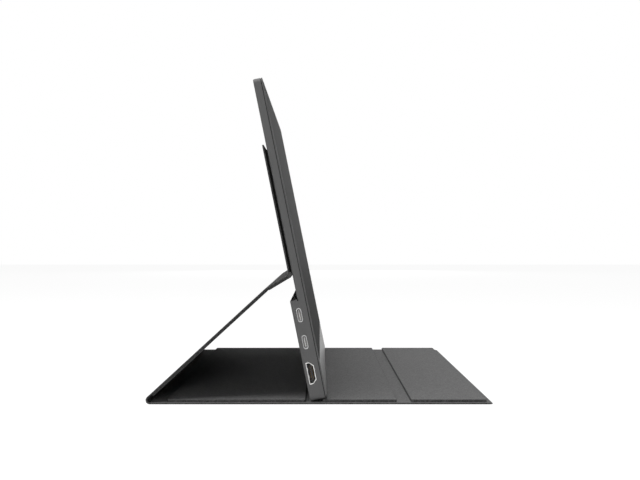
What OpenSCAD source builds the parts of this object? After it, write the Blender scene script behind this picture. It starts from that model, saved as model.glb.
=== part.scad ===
// Portable monitor that stands in its folding cloth cover.
// X runs from the foot of the stand to the front flap, Y across the width, Z up.
// The origin is on the table, under the middle of the whole part.

/* [Cover] */
// Cloth that stands out past each side of the monitor
cover_margin = 0.7; // [0.5:0.1:2]
// Thickness of the outer cloth
cloth_t = 1.1; // [0.8:0.1:1.4]
// Thickness of the lining that wraps each board
liner_t = 0.5; // [0.3:0.1:0.7]
// Thickness of the boards in the base and the flap
base_board_t = 1.4; // [1:0.1:1.8]
// Thickness of the boards in the stand
stand_board_t = 0.8; // [0.6:0.1:1]
// Cloth left bare along each side of a panel
panel_inset = 2; // [1:0.5:4]
// Corner radius of the panels
panel_r = 3; // [2:0.5:6]
// Inner radius of the cloth where it turns at the foot
foot_inner_r = 1.7; // [1.5:0.1:2.5]
// Soft cloth between the foot and the first panel
spine_len = 11.8; // [9:0.1:15]
// Width of the groove that the monitor stands in
stand_groove = 11.5; // [10.5:0.1:13]
// Length of the base panel in front of the monitor
panel_b_len = 50.4; // [40:0.2:60]
// Width of the second groove, where the flap folds
flap_groove = 9.8; // [8:0.1:12]
// Length of the flap's panel
flap_len = 51.2; // [40:0.2:60]
// Cloth border past the flap's panel
border_len = 4.2; // [3:0.1:6]
// Thickness of the border's thin end
border_tip_t = 0.6; // [0.4:0.1:0.8]

/* [Stand] */
// Length of the strut, from the foot's axis to the knee
strut_len = 108; // [100:0.5:115]
// Slope of the strut above the table
strut_angle = 42.55; // [40:0.05:45]
// Where the strut's board starts, from the foot's axis
strut_board_start = 3; // [2:0.5:6]
// Length of the short strip above the knee
strip_len = 18.3; // [16:0.1:22]
// Slope of the short strip
strip_angle = 30.85; // [28:0.05:33]
// Length of the plate that holds the monitor's back
plate_len = 89.9; // [75:0.1:100]
// Bare cloth at the plate's free end
plate_tip = 3.4; // [2:0.1:5]
// Bare cloth on each side of a fold in the stand
fold_margin = 1.5; // [1:0.1:2.5]
// Gap between the plate and the monitor's back
plate_gap = 0.25; // [0.2:0.05:0.4]
// Diameter of the magnets in the plate
magnet_d = 12; // [8:1:16]
// Spacing of the magnets across the plate
magnet_pitch = 52; // [40:1:60]
// Distance of the lower row of magnets from the plate's fold
magnet_row = 22; // [15:1:28]
// Distance between the two rows of magnets
magnet_row_gap = 42; // [30:1:45]

/* [Monitor] */
// Width of the monitor
mon_w = 355.6; // [340:0.2:360]
// Height of the monitor
mon_h = 222; // [210:0.5:235]
// Thickness of the upper part
mon_t = 6.5; // [6.2:0.1:8]
// Lean of the monitor away from upright
lean = 11.5; // [9:0.5:14]
// Step at the back, above the thick lower part
bulge_d = 5.2; // [5:0.1:6]
// Height of the thick lower part
bulge_h = 69.3; // [66:0.1:74]
// Corner radius seen from the front
mon_r = 3.5; // [3:0.1:6]
// Chamfer round the rear edges
edge_cut = 0.9; // [0.6:0.1:1.2]
// Wall of the rear shell
shell_wall = 1.2; // [1:0.1:1.4]
// Distance that the front corner stands past the groove
front_overhang = 3.3; // [2:0.1:4]
// Clearance between the monitor's bottom and the cover
seat_gap = 0.32; // [0.25:0.01:0.5]

/* [Screen] */
// Thickness of the front frame at its edge
frame_t = 0.9; // [0.8:0.1:1.2]
// Depth of the frame's rebate that holds the screen film and the chin
rebate_d = 0.4; // [0.3:0.05:0.5]
// Width of the frame's visible lip
frame_lip = 1.2; // [1:0.1:2]
// Width of the seam between frame and rear shell
seam_t = 0.5; // [0.3:0.1:0.6]
// Depth of that seam
seam_d = 0.4; // [0.3:0.1:0.6]
// Thickness of the frame's skirt inside the shell
skirt_t = 0.8; // [0.6:0.1:1]
// Depth of the frame's skirt
skirt_d = 1.8; // [1.5:0.1:2]
// Height of the chin below the screen
chin_h = 25; // [22:0.5:28]
// Gap between chin and screen film
chin_gap = 0.3; // [0.2:0.05:0.5]
// Thickness of the chin cover
chin_t = 0.35; // [0.2:0.05:0.4]
// Thickness of the matt screen film
film_t = 0.25; // [0.2:0.05:0.3]
// Thickness of the two glass sheets of the display
glass_t = 1; // [0.8:0.1:1.2]
// Thickness of the diffuser sheets
sheet_t = 0.4; // [0.3:0.1:0.5]
// Thickness of the light guide
guide_t = 1; // [0.8:0.1:1]
// Thickness of the display's metal tray
tray_t = 0.3; // [0.2:0.05:0.3]
// Height of the light strip below the light guide
led_h = 1.2; // [1:0.1:2]
// Clearance between nested parts
fit = 0.1; // [0.05:0.05:0.15]

/* [Ports] */
// Depth of the port centres behind the front face
port_depth = 7.2; // [7:0.1:7.6]
// Height of the upper USB-C port's centre
usb_a_z = 58.8; // [55:0.1:60]
// Height of the lower USB-C port's centre
usb_b_z = 40.2; // [36:0.1:44]
// Height of the HDMI port's centre
hdmi_z = 18.8; // [17:0.1:22]
// Outer length of a USB-C shell
usb_len = 9.75; // [9.4:0.05:10]
// Outer thickness of a USB-C shell
usb_t = 3.5; // [3.3:0.05:3.8]
// Length of a USB-C opening
usb_mouth_len = 8.34; // [8.2:0.01:8.5]
// Thickness of a USB-C opening
usb_mouth_t = 2.56; // [2.4:0.01:2.7]
// Depth of a USB-C shell
usb_depth = 7.4; // [6.5:0.1:9]
// Outer length of the HDMI shell
hdmi_len = 14.9; // [14.6:0.1:15.4]
// Outer thickness of the HDMI shell
hdmi_t = 5.3; // [5:0.1:5.4]
// Length of the HDMI shell's narrow side
hdmi_narrow = 9.8; // [9:0.1:11]
// Depth of the HDMI shell
hdmi_depth = 11.4; // [10:0.1:13]
// Sheet thickness of the HDMI shell
hdmi_wall = 0.4; // [0.3:0.05:0.5]
// Diameter of the audio jack's bore
jack_bore_d = 3.56; // [3.5:0.02:3.6]
// Depth of the audio jack's bore
jack_depth = 12; // [11:0.5:14]
// Height of the audio jack's centre
jack_z = 18.8; // [12:0.2:22]

/* [Controls] */
// Height of the power button's centre
power_z = 57; // [54:0.5:59]
// Length of the power button
power_len = 10; // [8:0.5:11]
// Height of the menu rocker's centre
rocker_z = 37; // [33:0.5:40]
// Length of the menu rocker
rocker_len = 16; // [13:0.5:17]
// Thickness of both keys
key_t = 2.4; // [2:0.1:2.8]
// Height of both keys above the side face
key_proud = 0.3; // [0.2:0.05:0.4]
// Travel of the power button
power_travel = 0.4; // [0.3:0.05:0.5]
// Diameter of the rocker's pin
rocker_pin_d = 1; // [0.8:0.1:1.2]
// Largest tilt of the rocker
rocker_tilt = 4; // [2:0.5:5]

/* [Electronics] */
// Thickness of the circuit boards
pcb_t = 1; // [0.8:0.1:1]
// Length of the main board across the monitor
main_board_len = 96; // [80:1:110]
// Height of the main board
main_board_h = 58; // [54:1:60]
// Height of the posts under the main board
post_h = 0.5; // [0.4:0.1:0.8]
// Size of a speaker across the monitor
speaker_len = 44; // [36:1:50]
// Height of a speaker
speaker_h = 20; // [16:1:24]
// Thickness of a speaker
speaker_t = 4; // [3:0.1:4.5]
// Gap between the main board and the speaker next to it
speaker_gap = 10; // [6:1:16]
// Length of the shield can across the monitor
can_len = 26; // [20:1:30]
// Height of the shield can
can_w = 28; // [22:1:32]
// Depth of the shield can over the board
can_h = 1.8; // [1.4:0.1:2.2]
// Sheet thickness of the shield can
can_t = 0.3; // [0.2:0.05:0.3]

/* [Hidden] */
$fn = 48;
cut = 0.5; // overrun of a cutting shape past the face that it opens

cloth_colour = "#4a4a4c";
liner_colour = "#5c5c5e";
board_colour = "#b9ab8f";
shell_colour = "#5e5f61";
screen_colour = "#3a3b3c";
chin_colour = "#55565a";
metal_colour = "#b4b6b8";
circuit_colour = "#1f5a3a";
gold_colour = "#a8873c";
black_colour = "#1a1a1b";

cover_w = mon_w + 2 * cover_margin;
base_t = cloth_t + base_board_t + liner_t;
stand_t = cloth_t + stand_board_t + liner_t;
foot_r = foot_inner_r + cloth_t;
panel_w = cover_w - 2 * panel_inset;

// A direction, and a point given in a tilted frame, in the side view.
function along(a) = [cos(a), sin(a)];
function in_frame(origin, a, p) = origin + p.x * along(a) + p.y * along(a + 90);

// The stand's chain, measured from the foot's axis.
knee_rel = in_frame([0, 0], strut_angle, [strut_len, foot_r - stand_t]);
shoulder_rel = in_frame(knee_rel, strip_angle, [strip_len, stand_t]);
plate_angle = 90 + lean;
bend_gap = 0.02; // what a soft fold stops short of the next segment
back_offset = stand_t + plate_gap + mon_t;

// The monitor's front bottom edge, resting over the front panel or on the groove's cloth.
mon_z = max(
    base_t + seat_gap / cos(lean) + front_overhang * tan(lean),
    cloth_t + seat_gap + (mon_t + bulge_d) * sin(lean)
);
grip_h = (foot_r + shoulder_rel.y - mon_z + back_offset * sin(lean)) / cos(lean);
mon_rel_x = shoulder_rel.x + grip_h * sin(lean) + back_offset * cos(lean);

// Places along the base, from the foot to the end of the border.
panel_b_rel = mon_rel_x - front_overhang;
total_len = foot_r + panel_b_rel + panel_b_len + flap_groove + flap_len + border_len;
foot = [foot_r - total_len / 2, foot_r];
panel_a_x = [foot.x + spine_len, foot.x + panel_b_rel - stand_groove];
panel_b_x = [foot.x + panel_b_rel, foot.x + panel_b_rel + panel_b_len];
flap_x = [panel_b_x[1] + flap_groove, panel_b_x[1] + flap_groove + flap_len];
cover_end = flap_x[1] + border_len;
knee = foot + knee_rel;
shoulder = foot + shoulder_rel;

// Depths in the monitor, from its front face towards the back.
bulge_t = mon_t + bulge_d;
thin_back = -(mon_t - shell_wall);
bulge_back = -(bulge_t - shell_wall);
seam_x = -(frame_t + seam_t);
skirt_out = shell_wall + fit;
skirt_in = skirt_out + skirt_t;
glass_x = -rebate_d;
sheet_x = glass_x - glass_t;
guide_x = sheet_x - sheet_t;
tray_x = guide_x - guide_t;
tray_back = tray_x - tray_t;
tray_z = [chin_h - 2, mon_h - skirt_in - fit];
tray_w = mon_w - 2 * (skirt_in + fit);
tray_r = max(mon_r - skirt_in, 0.5) + 2 * fit;
stack_w = tray_w - 2 * (tray_t + fit);
stack_z = [tray_z[0] + tray_t + fit, tray_z[1] - tray_t - fit];
tape_t = 0.3;
rib_top = tray_back - tape_t;
rib_t = 3;
rib_w = 250;
side = mon_w / 2;
inner_side = side - shell_wall;
port_x = -port_depth;
board_x = bulge_back + post_h;
board_top = board_x + pcb_t;
board_z = [shell_wall + 4, shell_wall + 4 + main_board_h];
board_y = [-inner_side + 0.6, -inner_side + 0.6 + main_board_len];
can_offset = 9;
can_rise = 5;
speaker_y = -(board_y[1] + speaker_gap + speaker_len / 2);
keeper_t = 0.5;
keeper_margin = 6;
magnet_count = 6;
magnet_rows = [magnet_row, magnet_row + magnet_row_gap];

// The far side's keys, counted inwards from the side face.
flange_t = 0.8;
nub_len = 0.8;
power_flange_y = inner_side - fit;
power_nub_y = power_flange_y - flange_t - nub_len;
switch_top = power_nub_y - power_travel - fit;
key_board_y = inner_side - 5.6;
rocker_pivot_y = inner_side - 1.4;
rocker_cap_y = rocker_pivot_y + 0.6;
rocker_swing = (side + key_proud - rocker_pivot_y) * sin(rocker_tilt);
rocker_dip = rocker_len / 2 * sin(rocker_tilt);
ear_w = 2;

// Shape helpers

// A rounded rectangle whose corner is at the origin.
module rounded_rect(size, r) {
    translate([r, 0]) square([size.x - 2 * r, size.y]);
    translate([0, r]) square([size.x, size.y - 2 * r]);
    for (x = [r, size.x - r], y = [r, size.y - r])
        translate([x, y]) circle(r);
}

// A slot with round ends, centred, with its length along the second axis.
module slot_2d(thick, length) {
    square([thick, length - thick], center = true);
    for (s = [-1, 1]) translate([0, s * (length - thick) / 2]) circle(d = thick);
}

// A flat slab between two X places, centred across the width.
module slab(x, z, w, r) {
    translate([x[0], -w / 2, z[0]])
        linear_extrude(z[1] - z[0]) rounded_rect([x[1] - x[0], w], r);
}

// A side view carried across the width, centred.
module across(w) {
    translate([0, w / 2, 0]) rotate([90, 0, 0]) linear_extrude(w) children();
}

// A side view carried from one Y place to another.
module along_y(y) {
    translate([0, y[1], 0]) rotate([90, 0, 0]) linear_extrude(y[1] - y[0]) children();
}

// A front view carried from one X place to another.
module along_x(x) {
    translate([x[0], 0, 0]) rotate([90, 0, 90]) linear_extrude(x[1] - x[0]) children();
}

// A box given by its limits.
module box(x, y, z) {
    translate([x[0], y[0], z[0]]) cube([x[1] - x[0], y[1] - y[0], z[1] - z[0]]);
}

// The monitor's front view, drawn in by an inset.
module front_outline(inset) {
    translate([-side + inset, inset])
        rounded_rect([mon_w - 2 * inset, mon_h - 2 * inset], max(mon_r - inset, 0.5));
}

// Frames of the parts

module in_strut() { translate([foot.x, 0, foot.y]) rotate([0, -strut_angle, 0]) children(); }
module in_strip() { translate([knee.x, 0, knee.y]) rotate([0, -strip_angle, 0]) children(); }
module in_plate() { translate([shoulder.x, 0, shoulder.y]) rotate([0, -plate_angle, 0]) children(); }
module in_monitor() { translate([foot.x + mon_rel_x, 0, mon_z]) rotate([0, -lean, 0]) children(); }

// Hangs a pad on the inside of a stand segment's cloth, whose outer face is at outer_z.
module under_cloth(outer_z) {
    translate([0, 0, outer_z - cloth_t]) mirror([0, 0, 1]) children();
}

// A stiffening board and the lining that wraps it, lying on the plane z = 0.
module pad_board(x, board_t) {
    slab([x[0] + liner_t, x[1] - liner_t], [0, board_t], panel_w - 2 * liner_t, panel_r - liner_t);
}

module pad_liner(x, board_t) {
    difference() {
        slab(x, [0, board_t + liner_t], panel_w, panel_r);
        slab([x[0] + liner_t, x[1] - liner_t], [-cut, board_t], panel_w - 2 * liner_t, panel_r - liner_t);
    }
}

// Cover: base and flap

module base_cloth() {
    color(cloth_colour) box([foot.x, panel_b_x[1]], [-cover_w / 2, cover_w / 2], [0, cloth_t]);
}

module panel_a_board() { color(board_colour) translate([0, 0, cloth_t]) pad_board(panel_a_x, base_board_t); }
module panel_a_liner() { color(liner_colour) translate([0, 0, cloth_t]) pad_liner(panel_a_x, base_board_t); }
module panel_b_board() { color(board_colour) translate([0, 0, cloth_t]) pad_board(panel_b_x, base_board_t); }
module panel_b_liner() { color(liner_colour) translate([0, 0, cloth_t]) pad_liner(panel_b_x, base_board_t); }

module flap_bend() {
    color(cloth_colour) box([panel_b_x[1], flap_x[0]], [-cover_w / 2, cover_w / 2], [0, cloth_t]);
}

module flap_cloth() {
    color(cloth_colour) intersection() {
        across(cover_w) polygon([
            [flap_x[0], 0], [cover_end, 0], [cover_end, border_tip_t],
            [flap_x[1], cloth_t], [flap_x[0], cloth_t]
        ]);
        slab([flap_x[0] - panel_r, cover_end], [-cut, cloth_t + cut], cover_w, panel_r);
    }
}

module flap_board() { color(board_colour) translate([0, 0, cloth_t]) pad_board(flap_x, base_board_t); }
module flap_liner() { color(liner_colour) translate([0, 0, cloth_t]) pad_liner(flap_x, base_board_t); }

// The cloth turning at the foot, from the table up to the strut's outer face.
module foot_bend() {
    reach = 2 * foot_r;
    color(cloth_colour) across(cover_w) translate(foot) difference() {
        circle(foot_r);
        circle(foot_inner_r);
        polygon([[0, 0], [0, -reach], [reach, -reach], reach * along(strut_angle), reach * along(strut_angle + 90)]);
    }
}

// Cover: stand

module strut_cloth() {
    color(cloth_colour) in_strut()
        box([0, strut_len - fold_margin], [-cover_w / 2, cover_w / 2], [foot_r - cloth_t, foot_r]);
}

strut_pad_x = [strut_board_start, strut_len - fold_margin];
module strut_board() { color(board_colour) in_strut() under_cloth(foot_r) pad_board(strut_pad_x, stand_board_t); }
module strut_liner() { color(liner_colour) in_strut() under_cloth(foot_r) pad_liner(strut_pad_x, stand_board_t); }

// The soft fold between strut and strip, which turns about its inner face.
module knee_bend() {
    turn = strut_angle - strip_angle;
    crest = knee + stand_t / cos(turn / 2) * along((strut_angle + strip_angle) / 2 + 90);
    color(cloth_colour) across(panel_w) polygon([
        in_frame(knee, strut_angle, [-fold_margin, 0]), knee,
        in_frame(knee, strip_angle, [fold_margin - bend_gap, 0]),
        in_frame(knee, strip_angle, [fold_margin - bend_gap, stand_t]), crest,
        in_frame(knee, strut_angle, [-fold_margin, stand_t])
    ]);
}

strip_pad_x = [fold_margin, strip_len - fold_margin];
module strip_cloth() {
    color(cloth_colour) in_strip()
        box(strip_pad_x, [-cover_w / 2, cover_w / 2], [stand_t - cloth_t, stand_t]);
}

module strip_board() { color(board_colour) in_strip() under_cloth(stand_t) pad_board(strip_pad_x, stand_board_t); }
module strip_liner() { color(liner_colour) in_strip() under_cloth(stand_t) pad_liner(strip_pad_x, stand_board_t); }

// The soft fold between strip and plate, which turns about the corner of the outer cloth.
module shoulder_bend() {
    reach = 2 * stand_t;
    color(cloth_colour) across(panel_w) union() {
        translate(shoulder) rotate(strip_angle) translate([-fold_margin, -stand_t]) square([fold_margin, stand_t]);
        translate(shoulder) rotate(plate_angle) translate([0, -stand_t])
            square([fold_margin - bend_gap, stand_t]);
        intersection() {
            translate(shoulder) circle(stand_t);
            translate(shoulder) polygon([
                [0, 0], reach * along(strip_angle - 90),
                reach * along((strip_angle + plate_angle) / 2 - 90), reach * along(plate_angle - 90)
            ]);
        }
    }
}

plate_pad_x = [fold_margin, plate_len - plate_tip];
module plate_cloth() {
    color(cloth_colour) in_plate() intersection() {
        box([fold_margin, plate_len], [-cover_w / 2, cover_w / 2], [-cloth_t, 0]);
        slab([fold_margin - panel_r, plate_len], [-cloth_t - cut, cut], cover_w, panel_r);
    }
}

// Places the magnets' axes in the plate's frame.
module at_magnets() {
    for (x = magnet_rows, i = [0:magnet_count - 1])
        translate([x, (i - (magnet_count - 1) / 2) * magnet_pitch, 0]) children();
}

module plate_board() {
    color(board_colour) in_plate() under_cloth(0) difference() {
        pad_board(plate_pad_x, stand_board_t);
        at_magnets() translate([0, 0, -cut]) cylinder(d = magnet_d + 2 * fit, h = stand_board_t + 2 * cut);
    }
}

module plate_liner() { color(liner_colour) in_plate() under_cloth(0) pad_liner(plate_pad_x, stand_board_t); }

module plate_magnets() {
    color(metal_colour) in_plate() under_cloth(0) at_magnets() cylinder(d = magnet_d, h = stand_board_t);
}

// Monitor: housing

// The rear shell's outside: a thin body, and a thick lower part with a square ledge on top.
module shell_outside() {
    hull() {
        along_x([-(mon_t - edge_cut), seam_x]) front_outline(0);
        along_x([-mon_t, seam_x]) front_outline(edge_cut);
    }
    hull() for (layer = [[bulge_t - edge_cut, 0], [bulge_t, edge_cut]])
        along_x([-layer[0], -mon_t + edge_cut]) intersection() {
            front_outline(layer[1]);
            translate([-mon_w / 2, 0]) square([mon_w, bulge_h]);
        }
}

// The hollow inside the rear shell, open to the front.
module shell_inside() {
    along_x([thin_back, cut]) front_outline(shell_wall);
    along_x([bulge_back, cut]) intersection() {
        front_outline(shell_wall);
        translate([-mon_w / 2, 0]) square([mon_w, bulge_h - shell_wall]);
    }
}

rib_z = [grip_h + magnet_rows[0] - 20, grip_h + magnet_rows[1] + 20, mon_h - 12];
screw_yz = [
    for (y = [board_y[0] + 16, board_y[1] - 4], z = [board_z[0] + 4, board_z[1] - 4]) [y, z]
];
screw_r = 0.8;

module rear_shell() {
    color(shell_colour) in_monitor() {
        difference() {
            shell_outside();
            shell_inside();
            at_ports([-side - cut, -inner_side + cut], fit);
            along_y([inner_side - cut, side + cut]) {
                translate([port_x, power_z]) slot_2d(key_t + 0.3, power_len + 0.3);
                translate([port_x, rocker_z])
                    slot_2d(key_t + 0.3, rocker_len + 2 * (rocker_swing + 0.15));
                translate([port_x, jack_z]) circle(d = jack_collar_d + 2 * fit);
                translate([port_x, status_z]) circle(d = status_d + 2 * fit);
            }
        }
        for (z = rib_z) box([thin_back, rib_top], [-rib_w / 2, rib_w / 2], [z, z + rib_t]);
        for (p = screw_yz) translate([bulge_back, p.x, p.y]) rotate([0, 90, 0]) difference() {
            cylinder(r = 2.2, h = post_h);
            translate([0, 0, -cut]) cylinder(r = screw_r, h = post_h + 2 * cut);
        }
    }
}

module front_frame() {
    panel_window = [tray_w + 2 * fit, tray_z[1] - tray_z[0] + 2 * fit];
    color(shell_colour) in_monitor() {
        along_x([-rebate_d, 0]) difference() {
            front_outline(0);
            front_outline(frame_lip);
        }
        along_x([-frame_t, -rebate_d]) difference() {
            front_outline(0);
            translate([-panel_window.x / 2, tray_z[0] - fit]) square(panel_window);
        }
        along_x([seam_x, -frame_t]) difference() {
            front_outline(seam_d);
            front_outline(skirt_in);
        }
        along_x([seam_x - skirt_d, seam_x]) difference() {
            front_outline(skirt_out);
            front_outline(skirt_in);
        }
    }
}

module chin_cover() {
    color(chin_colour) in_monitor() along_x([-rebate_d, -rebate_d + chin_t]) intersection() {
        front_outline(frame_lip + fit);
        translate([-side, 0]) square([mon_w, chin_h - chin_gap]);
    }
}

module screen_film() {
    color(screen_colour) in_monitor() along_x([-rebate_d, -rebate_d + film_t]) intersection() {
        front_outline(frame_lip + fit);
        translate([-side, chin_h]) square([mon_w, mon_h]);
    }
}

// Monitor: display

// One sheet of the display's stack, between two depths.
module stack_sheet(x, z0) { box(x, [-stack_w / 2, stack_w / 2], [z0, stack_z[1]]); }

module display_glass() { color(screen_colour) in_monitor() stack_sheet([sheet_x, glass_x], stack_z[0]); }
module diffuser_sheets() { color("white") in_monitor() stack_sheet([guide_x, sheet_x], stack_z[0]); }
module light_guide() {
    color("gainsboro") in_monitor() stack_sheet([tray_x, guide_x], stack_z[0] + led_h + fit);
}

module light_strip() {
    color("khaki") in_monitor()
        box([tray_x, guide_x], [-stack_w / 2, stack_w / 2], [stack_z[0], stack_z[0] + led_h]);
}

module display_tray() {
    color(metal_colour) in_monitor() difference() {
        along_x([tray_back, glass_x]) translate([-tray_w / 2, tray_z[0]])
            rounded_rect([tray_w, tray_z[1] - tray_z[0]], tray_r);
        box([tray_x, cut], [-tray_w / 2 + tray_t, tray_w / 2 - tray_t],
            [tray_z[0] + tray_t, tray_z[1] - tray_t]);
    }
}

module tray_tapes() {
    color(black_colour) in_monitor()
        for (z = rib_z) box([rib_top, tray_back], [-rib_w / 2, rib_w / 2], [z, z + rib_t]);
}

display_board_y = [-160, -60];
display_board_z = [5, chin_h - 6];
module display_board() {
    color(circuit_colour) in_monitor()
        box([-frame_t - pcb_t, -frame_t], display_board_y, display_board_z);
}

// The flat cable from the display's board back to the main board.
ribbon_t = 0.3;
ribbon_y = [-118, -98];
module display_ribbon() {
    z = (board_z[0] + display_board_z[1]) / 2;
    color("sienna") in_monitor() {
        box([board_top, -frame_t - pcb_t], ribbon_y, [z, z + ribbon_t]);
        box([board_top, board_top + ribbon_t], ribbon_y, [z, z + 6]);
    }
}

// Monitor: circuit boards and ports

module main_board() {
    notch = 2 * fit;
    color(circuit_colour) in_monitor() difference() {
        box([board_x, board_top], board_y, board_z);
        box([board_x - cut, board_top + cut], [board_y[0] - cut, -side + hdmi_depth + notch],
            [hdmi_z - hdmi_len / 2 - notch, hdmi_z + hdmi_len / 2 + notch]);
        for (p = screw_yz) translate([board_x - cut, p.x, p.y]) rotate([0, 90, 0])
            cylinder(r = screw_r + fit, h = pcb_t + 2 * cut);
    }
}

module board_screws() {
    color(metal_colour) in_monitor() for (p = screw_yz) translate([bulge_back, p.x, p.y]) rotate([0, 90, 0]) {
        cylinder(r = screw_r, h = post_h + pcb_t);
        translate([0, 0, post_h + pcb_t]) cylinder(r = 1.9, h = 0.7);
    }
}

// The lid over the main board's chips, open towards the board.
module shield_can() {
    middle = [board_top, (board_y[0] + board_y[1]) / 2 - can_offset, (board_z[0] + board_z[1]) / 2 + can_rise];
    color(metal_colour) in_monitor() translate(middle) difference() {
        box([0, can_h], [-can_len / 2, can_len / 2], [-can_w / 2, can_w / 2]);
        box([-cut, can_h - can_t], [can_t - can_len / 2, can_len / 2 - can_t], [can_t - can_w / 2, can_w / 2 - can_t]);
    }
}

// Steel strips inside the back that the plate's magnets hold on to.
module keeper_plates() {
    span = (magnet_count - 1) * magnet_pitch + magnet_d + 2 * keeper_margin;
    color(metal_colour) in_monitor() for (x = magnet_rows)
        box([thin_back, thin_back + keeper_t], [-span / 2, span / 2],
            [grip_h + x - magnet_d / 2 - keeper_margin / 2, grip_h + x + magnet_d / 2 + keeper_margin / 2]);
}

module hdmi_2d(grow) {
    back = -hdmi_t / 2 - grow;
    front = hdmi_t / 2 + grow;
    wide = hdmi_len / 2 + grow;
    narrow = hdmi_narrow / 2 + grow;
    shoulder_x = back + (front - back) * 0.48;
    polygon([[back, -wide], [shoulder_x, -wide], [front, -narrow], [front, narrow], [shoulder_x, wide], [back, wide]]);
}

// The outer shapes of the near side's three ports, each grown by a clearance.
module at_ports(y, grow) {
    along_y(y) {
        for (z = [usb_a_z, usb_b_z])
            translate([port_x, z]) slot_2d(usb_t + 2 * grow, usb_len + 2 * grow);
        translate([port_x, hdmi_z]) hdmi_2d(grow);
    }
}

usb_back_t = 1;
module usb_c_shells() {
    color(metal_colour) in_monitor() for (z = [usb_a_z, usb_b_z]) translate([port_x, 0, z]) difference() {
        along_y([-side, -side + usb_depth]) slot_2d(usb_t, usb_len);
        along_y([-side - cut, -side + usb_depth - usb_back_t]) slot_2d(usb_mouth_t, usb_mouth_len);
    }
}

module usb_c_tongues() {
    color(black_colour) in_monitor() for (z = [usb_a_z, usb_b_z])
        translate([port_x, -side + usb_depth - usb_back_t - 2.8, z])
            cube([0.7, 5.6, 6.7], center = true);
}

module hdmi_shell() {
    color(metal_colour) in_monitor() translate([port_x, 0, hdmi_z]) difference() {
        along_y([-side, -side + hdmi_depth]) hdmi_2d(0);
        along_y([-side - cut, -side + hdmi_depth - 1]) hdmi_2d(-hdmi_wall);
    }
}

module hdmi_tongue() {
    color(gold_colour) in_monitor() translate([port_x + 0.35, -side + hdmi_depth - 1 - 4.2, hdmi_z])
        cube([1.5, 8.4, hdmi_narrow + 0.6], center = true);
}

jack_collar_d = 5;
module audio_jack() {
    body = 6;
    color(black_colour) in_monitor() translate([port_x, 0, jack_z]) difference() {
        union() {
            along_y([inner_side - jack_depth, side]) circle(d = jack_collar_d);
            box([-body / 2 - 0.3, body / 2 - 0.3], [inner_side - jack_depth - 2, inner_side - fit], [-body / 2, body / 2]);
        }
        along_y([side - jack_depth, side + cut]) circle(d = jack_bore_d);
    }
}

// Monitor: speakers

speaker_x = [bulge_back + 0.3, bulge_back + 0.3 + speaker_t];
module speakers() {
    color(black_colour) in_monitor() for (s = [-1, 1])
        translate([0, s * speaker_y, 0])
            box(speaker_x, [-speaker_len / 2, speaker_len / 2], [shell_wall + 2, shell_wall + 2 + speaker_h]);
}

module speaker_gaskets() {
    color("dimgray") in_monitor() for (s = [-1, 1])
        translate([0, s * speaker_y, 0]) {
            box([bulge_back, speaker_x[0]], [-speaker_len / 2, speaker_len / 2],
                [shell_wall + 2, shell_wall + 2 + speaker_h]);
            box([bulge_back, speaker_x[1]], [-speaker_len / 2, speaker_len / 2], [shell_wall, shell_wall + 2]);
        }
}

// Monitor: keys on the far side

key_board_z = [rocker_z - rocker_len / 2 - 2, power_z + power_len / 2 + 1.5];
module key_board() {
    color(circuit_colour) in_monitor()
        box([bulge_back, port_x + 2.8], [key_board_y - pcb_t, key_board_y], key_board_z);
}

module power_switch() {
    color(black_colour) in_monitor()
        box([port_x - 1.5, port_x + 1.5], [key_board_y, switch_top], [power_z - 2, power_z + 2]);
}

module menu_switches() {
    top = rocker_cap_y - rocker_dip - 2 * fit;
    color(black_colour) in_monitor() {
        for (s = [-1, 1]) translate([0, 0, rocker_z + s * (rocker_len / 2 - 2.4)])
            box([port_x - 1.2, port_x + 1.2], [key_board_y, top], [-1.2, 1.2]);
        for (s = [-1, 1]) difference() {
            translate([port_x + s * (ear_w / 2 + 0.9), 0, rocker_z])
                box([-0.6, 0.6], [key_board_y, inner_side - 0.3], [-1.5, 1.5]);
            translate([port_x, rocker_pivot_y, rocker_z]) rotate([0, 90, 0])
                cylinder(d = rocker_pin_d, h = 10, center = true);
        }
    }
}

module rocker_pin() {
    color(metal_colour) in_monitor() translate([port_x, rocker_pivot_y, rocker_z]) rotate([0, 90, 0])
        cylinder(d = rocker_pin_d, h = ear_w + 3, center = true);
}

status_d = 1.2;
status_z = power_z - power_len / 2 - 2.6;
module status_light() {
    color("white") in_monitor() translate([port_x, 0, status_z])
        along_y([key_board_y, side - fit]) circle(d = status_d);
}

module power_button() {
    color(chin_colour) in_monitor() translate([port_x, 0, power_z]) {
        along_y([power_flange_y, side + key_proud]) slot_2d(key_t, power_len);
        along_y([power_flange_y - flange_t, power_flange_y]) slot_2d(key_t + 1, power_len + 1);
        along_y([power_nub_y, power_flange_y - flange_t]) circle(d = 1.6);
    }
}

module menu_rocker() {
    color(chin_colour) in_monitor() translate([port_x, 0, rocker_z]) difference() {
        union() {
            along_y([rocker_cap_y, side + key_proud]) slot_2d(key_t, rocker_len);
            translate([0, rocker_pivot_y, 0]) rotate([0, 90, 0]) cylinder(d = 2.4, h = ear_w, center = true);
            box([-ear_w / 2, ear_w / 2], [rocker_pivot_y, rocker_cap_y + fit], [-1.2, 1.2]);
        }
        translate([0, rocker_pivot_y, 0]) rotate([0, 90, 0])
            cylinder(d = rocker_pin_d + fit, h = ear_w + 2 * cut, center = true);
    }
}

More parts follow.
